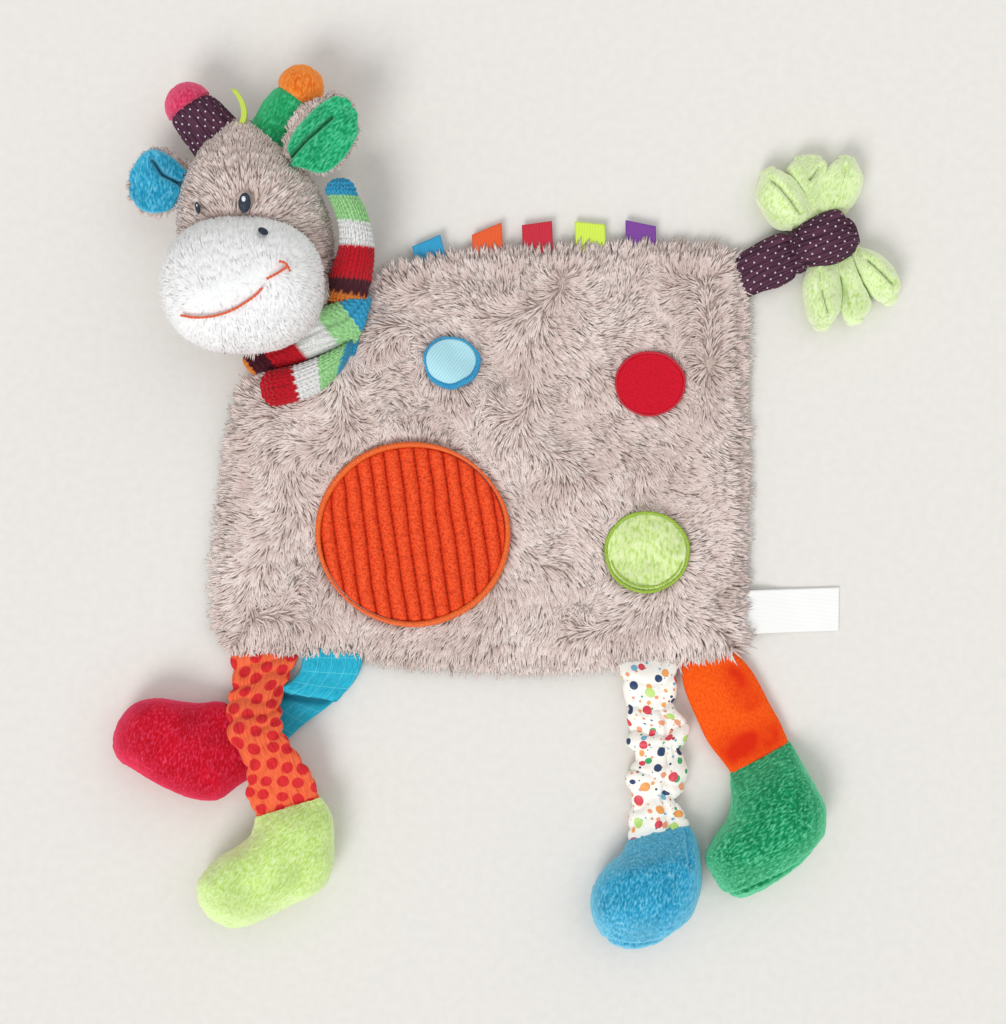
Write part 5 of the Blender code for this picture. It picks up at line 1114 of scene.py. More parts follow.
def make_legs():
    """Four legs of unlike cloth on their hips, each with its stuffed foot on its ankle."""
    # Dotted jersey leg, wrinkled where it crosses the leg below
    stations = leg_stations("dotted_hip", 0.127, 0.030, 0.070, 0.0076, (
        (-0.50, 0.00, 0.50, 0.00, 0.12, 0.88, 0.0), (-0.46, -0.17, 0.39, -0.13, 0.20, 1.1, 0.1),
        (-0.53, -0.31, 0.27, -0.29, 0.3, 1.2, 0.5), (-0.47, -0.50, 0.29, -0.43, 0.4, 1.3, 1.1),
        (-0.23, -0.70, 0.46, -0.57, 0.4, 1.3, 1.3), (-0.21, -0.87, 0.70, -0.73, 0.4, 1.3, 1.1),
        (-0.13, -0.99, 0.83, -0.87, 0.8, 1.6, 0.4),
    ), 0.0095)
    points = leg_points(stations, 170, 130)
    share = np.linspace(0, 1, 170)[:, None]
    bent = bell(share - 0.42, 0.26)
    u, v = (part[:, :-1] for part in cloth_places(points))
    warp = lumps(points, 0.012, 41) * 1.6
    creases = np.abs(np.sin(math.pi * (v / 0.0085 - u / 0.030) + warp)) ** 0.6 - 0.6
    height = 0.0015 * creases * (0.25 + bent) + 0.0008 * lumps(points, 0.009, 42)
    height = height * ease(share / 0.12) * ease((1 - share) / 0.08)
    height -= 0.0012 * bell(off_line(points, ((-0.0985, -0.0700), (-0.1045, -0.0850))), 0.0010)
    leg = piece("dotted_leg_cloth", tube("dotted_leg_cloth", pressed_out(points, height), flat=points),
                DOTTED_JERSEY, None,
                ("dotted_leg_sleeve",))
    bend_ankle(leg)
    points = foot_points(stations, 0.060, 0.058, 0.027, (
        (-0.27, -0.25, 0.33, -0.10, 0.11, 0.81), (-0.37, -0.35, 0.35, -0.31, -0.02, 0.94),
        (-0.49, -0.42, 0.35, -0.48, -0.02, 1.00), (-0.59, -0.51, 0.26, -0.66, -0.02, 1.00),
        (-0.66, -0.62, 0.03, -0.79, -0.02, 0.93), (-0.66, -0.75, -0.22, -0.93, -0.02, 0.74),
        (-0.60, -0.87, -0.41, -0.97, 0.11, 0.48),
    ))
    plush_foot("lime_foot", points, LIME_MINKY, "lime_foot",
               ("lime_foot_cover", "lime_foot_filling"), 51)

    # Turquoise cotton leg, folded over below the seam
    stations = leg_stations("turquoise_hip", 0.114, 0.027, 0.040, 0.0076, (
        (-0.51, 0.00, 0.51, 0.00, 0.12, 0.88), (-0.51, -0.17, 0.46, -0.21, 0.07, 0.95),
        (-0.71, -0.37, 0.17, -0.47, 0.06, 0.94), (-1.07, -0.48, -0.34, -0.73, 0.06, 0.88),
        (-1.37, -0.66, -0.71, -0.95, 0.06, 0.88), (-1.57, -0.77, -1.00, -1.11, 0.06, 0.88),
    ))
    points = leg_points(stations, 140, 120)
    share = np.linspace(0, 1, 140)[:, None]
    over = points[..., 1] + 0.0841 + 0.128 * (points[..., 0] + 0.0787)
    upper = ease((points[..., 2] - 0.004) / 0.002) * ease((-0.072 - points[..., 0]) / 0.008)
    flap = 0.0032 * ease((over + 0.0004) / 0.0008) * ease((0.0120 - over) / 0.0105)
    height = upper * (flap - 0.0014 * bell(over + 0.0014, 0.0014))
    height = (height + 0.0005 * lumps(points, 0.010, 43)) * ease((1 - share) / 0.1) * ease(share / 0.05)
    # painted shadow under the fold, carried as the shade attribute
    shade = (over < 0.0004) * (0.30 + 0.70 * bell(over + 0.0006, 0.0030)) * upper
    leg = piece("turquoise_leg_cloth", tube("turquoise_leg_cloth", pressed_out(points, height), flat=points,
                                            shade=shade),
                TURQUOISE_COTTON,
                None, ("turquoise_leg_sleeve",))
    bend_ankle(leg)
    points = foot_points(stations, 0.045, 0.064, 0.025, (
        (-0.18, 0.32, -0.00, -0.37, -0.02, 0.48), (-0.26, 0.36, -0.11, -0.48, -0.02, 0.56),
        (-0.37, 0.35, -0.25, -0.61, -0.02, 0.74), (-0.52, 0.38, -0.44, -0.56, -0.02, 0.92),
        (-0.66, 0.41, -0.61, -0.46, -0.02, 1.00), (-0.80, 0.36, -0.77, -0.33, -0.02, 0.96),
        (-0.91, 0.22, -0.91, -0.21, -0.02, 0.78), (-0.97, 0.07, -0.97, -0.10, 0.16, 0.48),
    ), turned=True)
    plush_foot("red_foot", points, RED_MINKY, "red_foot",
               ("red_foot_cover", "red_foot_filling"), 53,
               (((-0.1700, -0.1130), (-0.1480, -0.1250), (-0.1290, -0.1340)),), 0.00015)

    # White satin leg, gathered on elastic into puffs
    stations = leg_stations("satin_hip", 0.107, 0.025, 0.076, 0.012, (
        (-0.50, 0.00, 0.50, 0.00, 0.08, 0.58), (-0.49, -0.10, 0.51, -0.12, 0.02, 0.88),
        (-0.41, -0.22, 0.48, -0.24, 0.02, 0.75), (-0.38, -0.32, 0.48, -0.30, 0.02, 0.92),
        (-0.34, -0.41, 0.73, -0.38, 0.02, 0.83), (-0.38, -0.49, 0.67, -0.47, 0.02, 1.00),
        (-0.22, -0.59, 0.59, -0.55, 0.02, 0.75), (-0.36, -0.66, 0.69, -0.66, 0.02, 1.00),
        (-0.40, -0.73, 0.64, -0.76, 0.02, 0.92), (-0.32, -0.82, 0.50, -0.82, 0.02, 0.75),
        (-0.33, -0.92, 0.64, -0.91, 0.02, 0.83), (-0.36, -1.02, 0.70, -0.94, 0.12, 0.71),
    ))
    points = leg_points(stations, 220, 130)
    share = np.linspace(0, 1, 220)[:, None]
    u, v = (part[:, :-1] for part in cloth_places(points))
    warp = 1.5 * lumps(points, 0.011, 44) + 0.6 * lumps(points, 0.005, 45)
    puffs = np.abs(np.sin(math.pi * v / 0.0120 + warp)) ** 0.45 - 0.75
    pleat = np.abs(np.sin(math.pi * (u / 0.0075) + 1.3 * warp)) ** 0.6 - 0.65
    height = 0.0022 * puffs + 0.0009 * pleat * bell(u + 0.004, 0.008)
    height = height * ease(share / 0.1) * ease((1 - share) / 0.06)
    gathered = bell(u + 0.0040 - 0.0015 * lumps(points, 0.02, 46), 0.0009)
    height -= 0.0021 * gathered * ease((share - 0.3) / 0.06) * ease((0.95 - share) / 0.08)
    leg = piece("satin_leg_cloth", tube("satin_leg_cloth", pressed_out(points, height), flat=points),
                DOTTED_SATIN, None,
                ("satin_leg_sleeve", "satin_leg_elastic"))
    bend_ankle(leg)
    points = foot_points(stations, 0.050, 0.053, 0.027, (
        (-0.33, -0.23, 0.35, -0.12, -0.02, 0.70), (-0.47, -0.33, 0.37, -0.28, -0.02, 0.93),
        (-0.58, -0.47, 0.38, -0.46, -0.02, 1.00), (-0.61, -0.63, 0.32, -0.65, -0.02, 1.00),
        (-0.57, -0.79, 0.20, -0.82, -0.02, 0.87), (-0.46, -0.94, 0.02, -0.95, -0.02, 0.63),
        (-0.32, -1.02, -0.19, -1.02, 0.11, 0.37),
    ))
    plush_foot("blue_foot", points, BLUE_MINKY, "blue_foot",
               ("blue_foot_cover", "blue_foot_filling"), 55,
               (((0.0430, -0.1895), (0.0560, -0.1915), (0.0700, -0.1885), (0.0820, -0.1790)),
                ((0.0785, -0.1430), (0.0790, -0.1560))))

    # Orange velour leg with two pressed-in dents, darkened in the cloth's colour by painted shade
    stations = leg_stations("orange_hip", 0.107, 0.029, 0.046, 0.0076, (
        (-0.50, -0.04, 0.50, 0.04, 0.12, 0.88), (-0.36, -0.30, 0.66, -0.13, 0.05, 1.00),
        (-0.19, -0.57, 0.86, -0.34, 0.05, 1.00), (0.02, -0.85, 1.07, -0.59, 0.07, 1.00),
        (0.33, -1.11, 1.23, -0.81, 0.12, 1.00),
    ))
    points = leg_points(stations, 140, 140)
    share = np.linspace(0, 1, 140)[:, None]
    # the dents' mask, which also drives the painted shade in the velour's colour
    pressed = bell(off_line(points, ((0.0990, -0.1070), (0.1160, -0.0990))), 0.0070)
    pressed = np.maximum(pressed, 0.8 * bell(off_line(points, ((0.1000, -0.0715), (0.1065, -0.0835))),
                                             0.0055))
    pressed = np.clip(pressed * (1 + 0.5 * lumps(points, 0.004, 47)) * ease((points[..., 2] - 0.004) / 0.003),
                      0, 1)
    height = 0.0006 * lumps(points, 0.012, 48) - 0.0006 * pressed
    leg = piece("orange_leg_cloth", tube("orange_leg_cloth",
                                         pressed_out(points, height * ease((1 - share) / 0.06)),
                                         pressed=pressed), ORANGE_VELOUR, None,
                ("orange_leg_sleeve",))
    bend_ankle(leg)
    points = foot_points(stations, 0.054, 0.063, 0.027, (
        (-0.23, -0.29, 0.37, -0.07, -0.02, 0.67), (-0.27, -0.44, 0.47, -0.23, -0.02, 0.89),
        (-0.38, -0.57, 0.54, -0.39, -0.02, 1.00), (-0.45, -0.71, 0.48, -0.59, -0.02, 1.00),
        (-0.39, -0.84, 0.30, -0.77, -0.02, 0.85), (-0.30, -0.95, 0.09, -0.92, -0.02, 0.63),
        (-0.18, -1.01, -0.05, -0.99, 0.11, 0.37),
    ))
    plush_foot("green_foot", points, GREEN_MINKY, "green_foot",
               ("green_foot_cover", "green_foot_filling"),
               57, (((0.0940, -0.1710), (0.1080, -0.1650), (0.1240, -0.1570), (0.1405, -0.1430)),))


def bend_ankle(leg):
    """Bakes the sleeve's world placement into its mesh points."""
    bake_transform(leg)


def make_head():
    """The stuffed head and muzzle, each a closed form with its own coat, and the embroidered face."""
    stations = stations_at(NECK_RIGHT, *HEAD_SIZE, HEAD_THICK, 0, (
        (-0.65, 0.68, -0.60, 0.68, 0.39, 0.57), (-0.75, 0.64, -0.49, 0.64, 0.22, 0.76),
        (-0.88, 0.56, -0.35, 0.56, 0.09, 0.89), (-0.95, 0.48, -0.24, 0.48, 0.00, 0.97),
        (-1.00, 0.39, -0.15, 0.39, -0.01, 1.00), (-1.03, 0.28, -0.08, 0.28, -0.01, 0.96),
        (-1.04, 0.15, -0.05, 0.15, -0.01, 0.87), (-1.03, 0.04, -0.05, 0.04, -0.01, 0.78),
        (-0.99, -0.07, -0.08, -0.07, -0.01, 0.70), (-0.91, -0.17, -0.17, -0.17, 0.02, 0.59),
        (-0.77, -0.26, -0.33, -0.26, 0.13, 0.52), (-0.61, -0.31, -0.50, -0.31, 0.26, 0.46),
    ))
    points = loft(stations, 110, 140, 2.15)
    inset = pressed_out(points, np.full(points.shape[:2], -0.0009) + 0.0005 * lumps(points, 0.012, 61))
    piece("head_plush", tube("head_plush", inset), TAUPE_BACKING, "head",
          ("head_cover", "head_filling"))
    centre = np.array((*in_head((-0.593, -0.045)), MUZZLE_LEVEL))
    turn, rise = np.meshgrid(np.linspace(0, 2 * math.pi, 150, endpoint=False),
                             np.linspace(-0.49, 0.49, 100) * math.pi)
    ball = np.stack([np.cos(turn) * np.cos(rise), np.sin(turn) * np.cos(rise), np.sin(rise)], -1)
    reach = (np.abs(ball) ** 2.3).sum(axis=-1, keepdims=True) ** (-1 / 2.3)
    muzzle = centre + ball * reach * (MUZZLE_RADII - 0.0009)
    piece("muzzle_plush", tube("muzzle_plush", muzzle), WHITE_BACKING, "head",
          ("muzzle_cover", "muzzle_filling"))

    roots, normals = scatter(inset.reshape(-1, 3), grid_triangles(110, 140), HEAD_LOCKS, 62)
    normals = facing(roots, normals, points.reshape(-1, 3).mean(axis=0))
    in_muzzle = (np.abs((roots - centre) / MUZZLE_RADII) ** 2.3).sum(axis=1) < 0.93
    eye = np.array((*in_head((-0.562, 0.294)), 0.045))
    near_eye = np.linalg.norm((roots - eye)[:, :2] / (0.0036, 0.0050), axis=1) < 1
    out_eye = np.array(in_head((-0.868, 0.280)))
    near_eye |= np.linalg.norm((roots[:, :2] - out_eye) / (0.0018, 0.0030), axis=1) < 1
    keep = ~in_muzzle & ~(near_eye & (roots[:, 2] > 0.02)) & (roots[:, 2] > 0.0012)
    roots, normals = roots[keep], normals[keep]
    start = np.array((*in_head((-0.60, 0.16)), 0.030))
    leans = roots - start
    leans[:, 2] *= 0.4
    swirl = lumps(roots, 0.020, 63)
    leans = unit(leans) + 0.8 * np.cross(unit(leans), normals) * swirl[:, None]
    fur("head_pile", roots, normals, leans, np.full(len(roots), 0.0060), 0.0014, TAUPE_PILE, "head",
        64,
        stand=0.28, pitch=0.0036, stray=0.14)

    roots, normals = scatter(muzzle.reshape(-1, 3), grid_triangles(100, 150), MUZZLE_LOCKS, 65)
    normals = facing(roots, normals, centre)
    in_head_form = roots[:, 2] < 0.021
    keep = ~(in_head_form & (np.linalg.norm((roots - centre)[:, :2] / MUZZLE_RADII[:2], axis=1) < 0.80))
    keep &= roots[:, 2] > 0.016
    roots, normals = roots[keep], normals[keep]
    parting = np.array([(*in_head(place), 0.056) for place in ((-0.80, -0.13), (-0.36, -0.01))])
    along = np.clip((roots - parting[0]) @ (parting[1] - parting[0]) / np.sum((parting[1] - parting[0]) ** 2),
                    0, 1)
    from_mouth = unit(roots - parting[0] - along[:, None] * (parting[1] - parting[0]))
    leans = from_mouth + 0.5 * np.cross(from_mouth, normals) * lumps(roots, 0.016, 66)[:, None]
    fur("muzzle_pile", roots, normals, leans, np.full(len(roots), 0.0054), 0.0017, WHITE_PILE, "head",
        67,
        stand=0.22, gather=0.45, pitch=0.0034, rings=SHORT_RINGS, stray=0.22, soft=0.68)
    make_face(points, muzzle)


def level_of(points, plan):
    """The highest level of a form's points near each place."""
    flat = points.reshape(-1, 3)
    near = np.linalg.norm(flat[None, :, :2] - np.asarray(plan)[:, None], axis=2) < 0.0015
    return np.where(near, flat[None, :, 2], 0).max(axis=1)


def make_face(head, muzzle):
    """Satin-stitched eyes and nostrils, domed and ribbed by their threads, and the mouth as two stitched
    lines."""
    for name, node, shares, radii, turn, form, rise in (
        ("right_eye", "eye_right", (-0.562, 0.294), (0.0026, 0.0042), -0.10, head, 0.0018),
        ("left_eye", "eye_left", (-0.868, 0.280), (0.0011, 0.0026), 0.20, head, 0.0018),
        ("right_nostril", "nostril_right", (-0.433, 0.163), (0.0024, 0.0015), -0.55, muzzle, 0.0024),
        ("left_nostril", "nostril_left", (-0.70, 0.150), (0.0016, 0.0010), 0.5, muzzle, -0.0014),
    ):
        x, y = disc_shares(48)
        a, b = x * radii[0], y * radii[1]
        spot = in_head(shares)
        plan = np.stack([spot[0] + a * math.cos(turn) - b * math.sin(turn),
                         spot[1] + a * math.sin(turn) + b * math.cos(turn)], -1)
        level = level_of(form, plan.reshape(-1, 2)).reshape(48, 48)
        dome = np.sqrt(np.clip(1 - x * x - y * y, 0, 1))
        threads = 0.00009 * np.sin(2 * math.pi * y * radii[1] / 0.0008)
        top = level + rise + 0.0009 * dome + threads * dome
        under = level + rise - 0.0012 * dome
        mesh = pillow(name, np.dstack([plan, top]), np.dstack([plan, under]))
        piece(name, mesh, NAVY_THREAD, "head", (node,))
        if name.endswith("eye"):
            size = 0.34 if name == "right_eye" else 0.28
            shine = spot + np.array((-0.10, 0.36)) * radii
            plan = np.stack([shine[0] + x * radii[0] * size, shine[1] + y * radii[1] * size * 0.8], -1)
            level = level_of(form, plan.reshape(-1, 2)).reshape(48, 48)
            mesh = pillow(name + "_shine", np.dstack([plan, level + rise + 0.0008 + 0.0005 * dome]),
                          np.dstack([plan, level + rise + 0.0006 - 0.0003 * dome]))
            piece(name + "_shine", mesh, WHITE_THREAD, "head")
    long_line = ((-0.947, -0.192), (-0.850, -0.203), (-0.729, -0.198), (-0.609, -0.172), (-0.488, -0.121),
                 (-0.428, -0.080))
    short_line = ((-0.405, -0.044), (-0.338, -0.018), (-0.277, 0.012))
    tick = ((-0.330, 0.033), (-0.290, 0.024), (-0.262, -0.008))
    for name, line, nodes in (("mouth_line", long_line, ("mouth_stitching",)),
                              ("mouth_corner_line", short_line, ()),
                              ("mouth_tick", tick, ())):
        plan = in_head(curve_at(line, np.linspace(0, 1, 90)))
        path = np.column_stack([plan, level_of(muzzle, plan) + 0.0022])
        mesh = tube(name, cord_rings(path, 0.00055, ripple=0.22, thread=0.0018))
        piece(name, mesh, CORAL_THREAD, "head", nodes)


def make_ears():
    """Two flap ears: a plush back under a velour lining that is creased along the ear, each a lofted leaf."""
    ears = (
        ("left", "left_ear", 0.0220, EAR_BLUE, "blue_velour", (
            (-0.99, 0.50, -1.05, 0.36), (-1.08, 0.55, -1.09, 0.31), (-1.17, 0.56, -1.17, 0.295),
            (-1.24, 0.541, -1.24, 0.303),
            (-1.285, 0.507, -1.285, 0.323), (-1.312, 0.476, -1.312, 0.348)),
            ((-0.1560, 0.1535), (-0.1520, 0.1475), (-0.1435, 0.1432)),
            (0.0040, 0.0040, 0.0026, 0.0014, 0.0008, 0.0004)),
        ("right", "right_ear", 0.0350, EAR_GREEN, "green_velour", (
            (-0.338, 0.548, -0.238, 0.478), (-0.29, 0.66, -0.09, 0.45), (-0.17, 0.74, 0.04, 0.51),
            (-0.045, 0.775, 0.115, 0.60),
            (-0.003, 0.771, 0.119, 0.637), (0.032, 0.759, 0.113, 0.671)),
            ((-0.0945, 0.1530), (-0.0881, 0.1598), (-0.0765, 0.1700)),
            (0.0050, 0.0064, 0.0052, 0.0030, 0.0018, 0.0008)),
    )
    thin = (0.5, 0.9, 1.0, 0.9, 0.75, 0.5)
    for side, body, level, material, slot, rails, crease, insets in ears:
        for thick, under in ((0.0032, True), (0.0034, False)):
            table = [(*row, *((-share, 0) if under else (0, share))) for row, share in zip(rails, thin)]
            stations = stations_at(NECK_RIGHT, *HEAD_SIZE, thick, level, table)
            line = unit(stations[:, 2:4] - stations[:, 0:2])
            if not under:
                stations[:, 0:2] += line * np.array(insets)[:, None]
                stations[1:, 2:4] -= line[1:] * 0.0004
                stations[0, 2:4] -= line[0] * 0.0016
            whole = rounded(rounded(stations, 0.0014 if under else 0.0006, 3, 0.6)[::-1], 0.0013, 6,
                            0.8)[::-1]
            points = loft(whole, 80, 100, 2.4)
            top = points[..., 2] > level + 0.0002
            if under:
                points = pressed_out(points, 0.0004 * lumps(points, 0.006, 71))
                piece(side + "_ear_plush", tube(side + "_ear_plush", points), TAUPE_BACKING, body,
                      (f"{side}_ear_back",))
                roots, normals = scatter(points.reshape(-1, 3), grid_triangles(80, 100), EAR_LOCKS, 72)
                middle = points.reshape(-1, 3).mean(axis=0)
                normals = facing(roots, normals, middle, (0.2, 0.2, 1))
                leans = roots - np.array((*stations[0, 0:2], level))
                rim = (roots - middle) * (1, 1, 0)
                fur(side + "_ear_pile", roots, normals, unit(leans) + 0.6 * unit(rim),
                    np.full(len(roots), 0.0030), 0.0012,
                    TAUPE_PILE, body, 73, stand=0.4)
                continue
            wide = np.linalg.norm(points.max(axis=1) - points.min(axis=1), axis=1)[:, None] / 2
            off = off_line(points, crease)
            rim = np.linalg.norm(points - points.mean(axis=1, keepdims=True), axis=2) / wide
            hollow = 0.0016 * np.clip(rim, 0, 1) ** 3 + 0.0018 * bell(off, 0.0045)
            height = (hollow - 0.0030 * bell(off, 0.0012)) * top
            height = height + 0.0002 * lumps(points, SMALL_PILE, 74) + 0.0004 * lumps(points, 0.010, 75) * top
            points = pressed_out(points, height)
            # the crease attribute marks where painted shade darkens the lining's groove
            crease = bell(off, 0.0008) * top
            piece(side + "_ear_lining_velour", tube(side + "_ear_lining_velour", points, crease=crease),
                  material, body,
                  (f"{side}_ear_lining",))


def make_horns():
    """Two stuffed horns: round sections to a domed tip, the stem and the tip meeting in a sewn groove."""
    horns = (
        ("left", PLUM_COTTON, "plum_dotted_cloth", HORN_PINK, "pink_velour", (
            (-0.87, 0.49, -0.61, 0.66, -0.5, 0.5), (-0.93, 0.54, -0.68, 0.71, -0.5, 0.5),
            (-1.01, 0.61, -0.75, 0.76, -0.5, 0.5), (-1.085, 0.688, -0.835, 0.808, -0.5, 0.5),
            (-1.093, 0.699, -0.847, 0.817, -0.5, 0.5))),
        ("right", HORN_GREEN, "green_velour", HORN_ORANGE, "tangerine_velour", (
            (-0.64, 0.60, -0.44, 0.49, -0.5, 0.5), (-0.557, 0.69, -0.345, 0.58, -0.5, 0.5),
            (-0.487, 0.777, -0.26, 0.655, -0.5, 0.5), (-0.400, 0.842, -0.173, 0.7315, -0.5, 0.5),
            (-0.371, 0.884, -0.126, 0.786, -0.5, 0.5))),
    )
    for side, stem_material, stem_slot, tip_material, tip_slot, shares in horns:
        stations = stations_at(NECK_RIGHT, *HEAD_SIZE, 0.018, 0.0215, shares)
        whole = rounded(stations[::-1], 0.0100, 11, 0.97)[::-1]
        points = loft(whole, 170, 110, 2.0)
        seam = int(170 * 3.0 / (len(whole) - 1))
        share = np.linspace(0, 1, 170)[:, None] * np.ones(110)
        pile = 0.0002 * lumps(points, 0.0012, 81) + 0.0002 * lumps(points, 0.010, 82)
        around = np.linspace(0, 1, 110, endpoint=False)[None, :]
        ribs = 0.00022 * np.cos(2 * math.pi * around * 32) * np.ones((170, 1))
        ribs = ribs + 0.0004 * lumps(points, 0.007, 83)
        groove = bell(share - share[seam], 0.012)
        stem = (ribs if side == "left" else pile) - 0.0010 * groove
        stem = pressed_out(points[: seam + 1], stem[: seam + 1])
        piece(side + "_horn_stem_cloth", tube(side + "_horn_stem_cloth", stem), stem_material,
              "head", (side + "_horn_stem", side + "_horn_filling"))
        tip = pressed_out(points[seam:], (pile + 0.0004 - 0.0014 * groove)[seam:])
        piece(side + "_horn_tip_cloth", tube(side + "_horn_tip_cloth", tip), tip_material,
              "head", (side + "_horn_tip",))


YARNS = {"blue": "3AACD9", "mint": "A6E39A", "white": "F5F5F3", "red": "CC1124", "maroon": "4E0F22",
         "orange": "F0862B"}


def knit(stitches, run):
    """V stitches, from 0 in the gaps to 1 on the yarn: in each column two round legs, |sin(2 pi x)|,
    crossed by rows that slant down to the column's middle."""
    slant = 1 - np.abs(stitches % 1 - 0.5) * 2
    wave = 0.5 + 0.5 * np.cos(2 * math.pi * (run / KNIT_ROW + 0.6 * slant))
    legs = np.abs(np.sin(2 * math.pi * stitches)) ** 0.6
    return (0.15 + 0.85 * wave ** 0.7) * (0.2 + 0.8 * legs)


def striped(place, stitches, over, stops):
    """Each point's yarn colour: the stripe that its place falls in, each edge stepping with the stitches, and
    darker down in the gaps as painted shade."""
    names, limits = zip(*stops)
    stripes_and_gap_shade = np.array([linear(YARNS[name]) for name in names])
    stepped = place + 0.0011 * (np.abs(stitches % 1 - 0.5) * 2 - 0.5)
    stripes_and_gap_shade = stripes_and_gap_shade[np.searchsorted(limits[:-1], stepped)]
    # painted shade: the yarn colour darkens down in the gaps between stitches
    stripes_and_gap_shade[..., :3] *= (0.50 + 0.50 * ease(over * 2.2))[..., None]
    return stripes_and_gap_shade


def knitted(name, points, columns, stops, body, node, place, ring=False):
    """A knitted tube with its stripes, its stitches running along it."""
    rows, sides = points.shape[:2]
    v = cloth_places(points)[1][:, :-1]
    around = np.linspace(0, columns, sides, endpoint=False)[None, :] * np.ones((rows, 1))
    over = knit(around, v)
    height = 0.0010 * (over - 0.6)
    if not ring:
        share = np.linspace(0, 1, rows)[:, None]
        height = height * ease(share / 0.02) * ease((1 - share) / 0.02)
    mesh = tube(name, pressed_out(points, height), ring=ring, yarn=striped(place, around, over, stops))
    piece(name, mesh, STRIPED_YARN, body, (node,))


def wrap_points():
    """The scarf's turn round the neck: a flat tube carried round a squarish loop. Its front half is
    widened and bowed towards the body, as a line through measured places along the neck says."""
    turns, sides, power = 340, 76, 5
    thick, half_span, half_width, inner_rise = 0.0050, 0.0262, 0.0052, 0.0069 / 2 + 0.0003
    level = NECK_RISE + 0.0069 / 2
    turn = np.linspace(0, 2 * math.pi, turns, endpoint=False)[:, None]
    across, upward = superellipse(turn, power)
    angle = np.linspace(-math.pi / 2, 1.5 * math.pi, sides, endpoint=False)[None, :]
    side, depth = superellipse(angle, 2.6)
    along = (half_span + thick / 2) * across + thick / 2 * across * depth
    rise = (inner_rise + thick / 2) * upward + thick / 2 * upward * depth
    place = (half_span + thick) * across
    low = np.interp(place, (-0.0312, -0.023, -0.009, 0.0027, 0.0156, 0.024, 0.0312),
                    (-0.0040, -0.0085, -0.0134, -0.0160, -0.0205, -0.0165, -0.0105))
    high = np.interp(place, (-0.0312, -0.010, 0.010, 0.0200, 0.0312),
                     (0.0050, 0.0040, 0.0020, -0.0010, -0.0030))
    front = ease((upward + 0.5) / 1.0)
    middle = (low + high) / 2 * front
    width = half_width + ((high - low) / 2 - half_width) * front
    out = middle + width * side
    plan = WRAP_CENTRE + NECK_ALONG * along[..., None] + NECK_OUT * out[..., None]
    heights = np.maximum(level + rise + 0.0009 * front * (1 - side ** 2) * np.sign(depth), TABLE_GAP)
    return np.dstack([plan, heights]), along


def make_scarf():
    """The knitted scarf: once round the neck, an upper end beside the head and a lower end on the body."""
    points, along = wrap_points()
    knitted("scarf_wrap_knit", points, 16, (("orange", -0.0293), ("maroon", -0.0209), ("red", -0.0073),
                                            ("white", 0.0078),
                                            ("mint", 0.0192), ("blue", 1)), "blanket", "scarf_neck_wrap",
                                            along, ring=True)
    upper = stations_at(NECK_RIGHT, 0.020, 0.050, 0.012, 0, (
        (-0.34, -0.13, 0.56, -0.20, 0.70, 1.40), (-0.18, 0.05, 0.74, 0.03, 1.44, 2.50),
        (0.00, 0.24, 0.79, 0.22, 1.67, 2.67), (0.03, 0.42, 0.75, 0.39, 1.83, 2.83),
        (-0.10, 0.60, 0.62, 0.58, 1.92, 2.92), (-0.26, 0.74, 0.40, 0.74, 1.98, 2.88),
    ))
    points = loft(rounded(rounded(upper, 0.003, 4, 0.6)[::-1], 0.0056, 9, 0.94)[::-1], 165, 160, 2.3)
    knitted("scarf_upper_knit", points, 16, (("orange", 0.0962), ("maroon", 0.1022), ("red", 0.1158),
                                             ("white", 0.1262),
                                             ("mint", 0.1372), ("blue", 1)), "scarf_upper", "scarf_upper_end",
            place=points[..., 1].mean(axis=1, keepdims=True) + 0 * points[..., 1])
    lower = stations_at(NECK_RIGHT, 0.044, 0.022, 0.010, 0, (
        (0.15, -1.12, 0.10, -1.50, -0.50, 0.20), (0.10, -1.25, 0.00, -1.86, -0.10, 0.85),
        (-0.06, -1.41, -0.11, -2.10, 0.00, 1.00), (-0.26, -1.59, -0.21, -2.26, 0.00, 1.00),
        (-0.48, -1.74, -0.40, -2.43, 0.00, 1.00), (-0.67, -1.82, -0.61, -2.54, 0.00, 1.00),
    ))
    for row in lower:
        spots = row[0:2] + (row[2:4] - row[0:2]) * np.linspace(0, 1, 5)[:, None]
        row[4:6] += float(front_level(spots).max()) + 0.0006
    points = loft(rounded(rounded(lower, 0.002, 4)[::-1], 0.0064, 9, 0.92)[::-1], 150, 150, 2.3)
    knitted("scarf_lower_knit", points, 14, (("red", -0.0940), ("white", -0.0839), ("mint", -0.0738),
                                             ("blue", 1)),
            "scarf_lower", "scarf_lower_end",
            place=points[..., 0].mean(axis=1, keepdims=True) + 0 * points[..., 0])


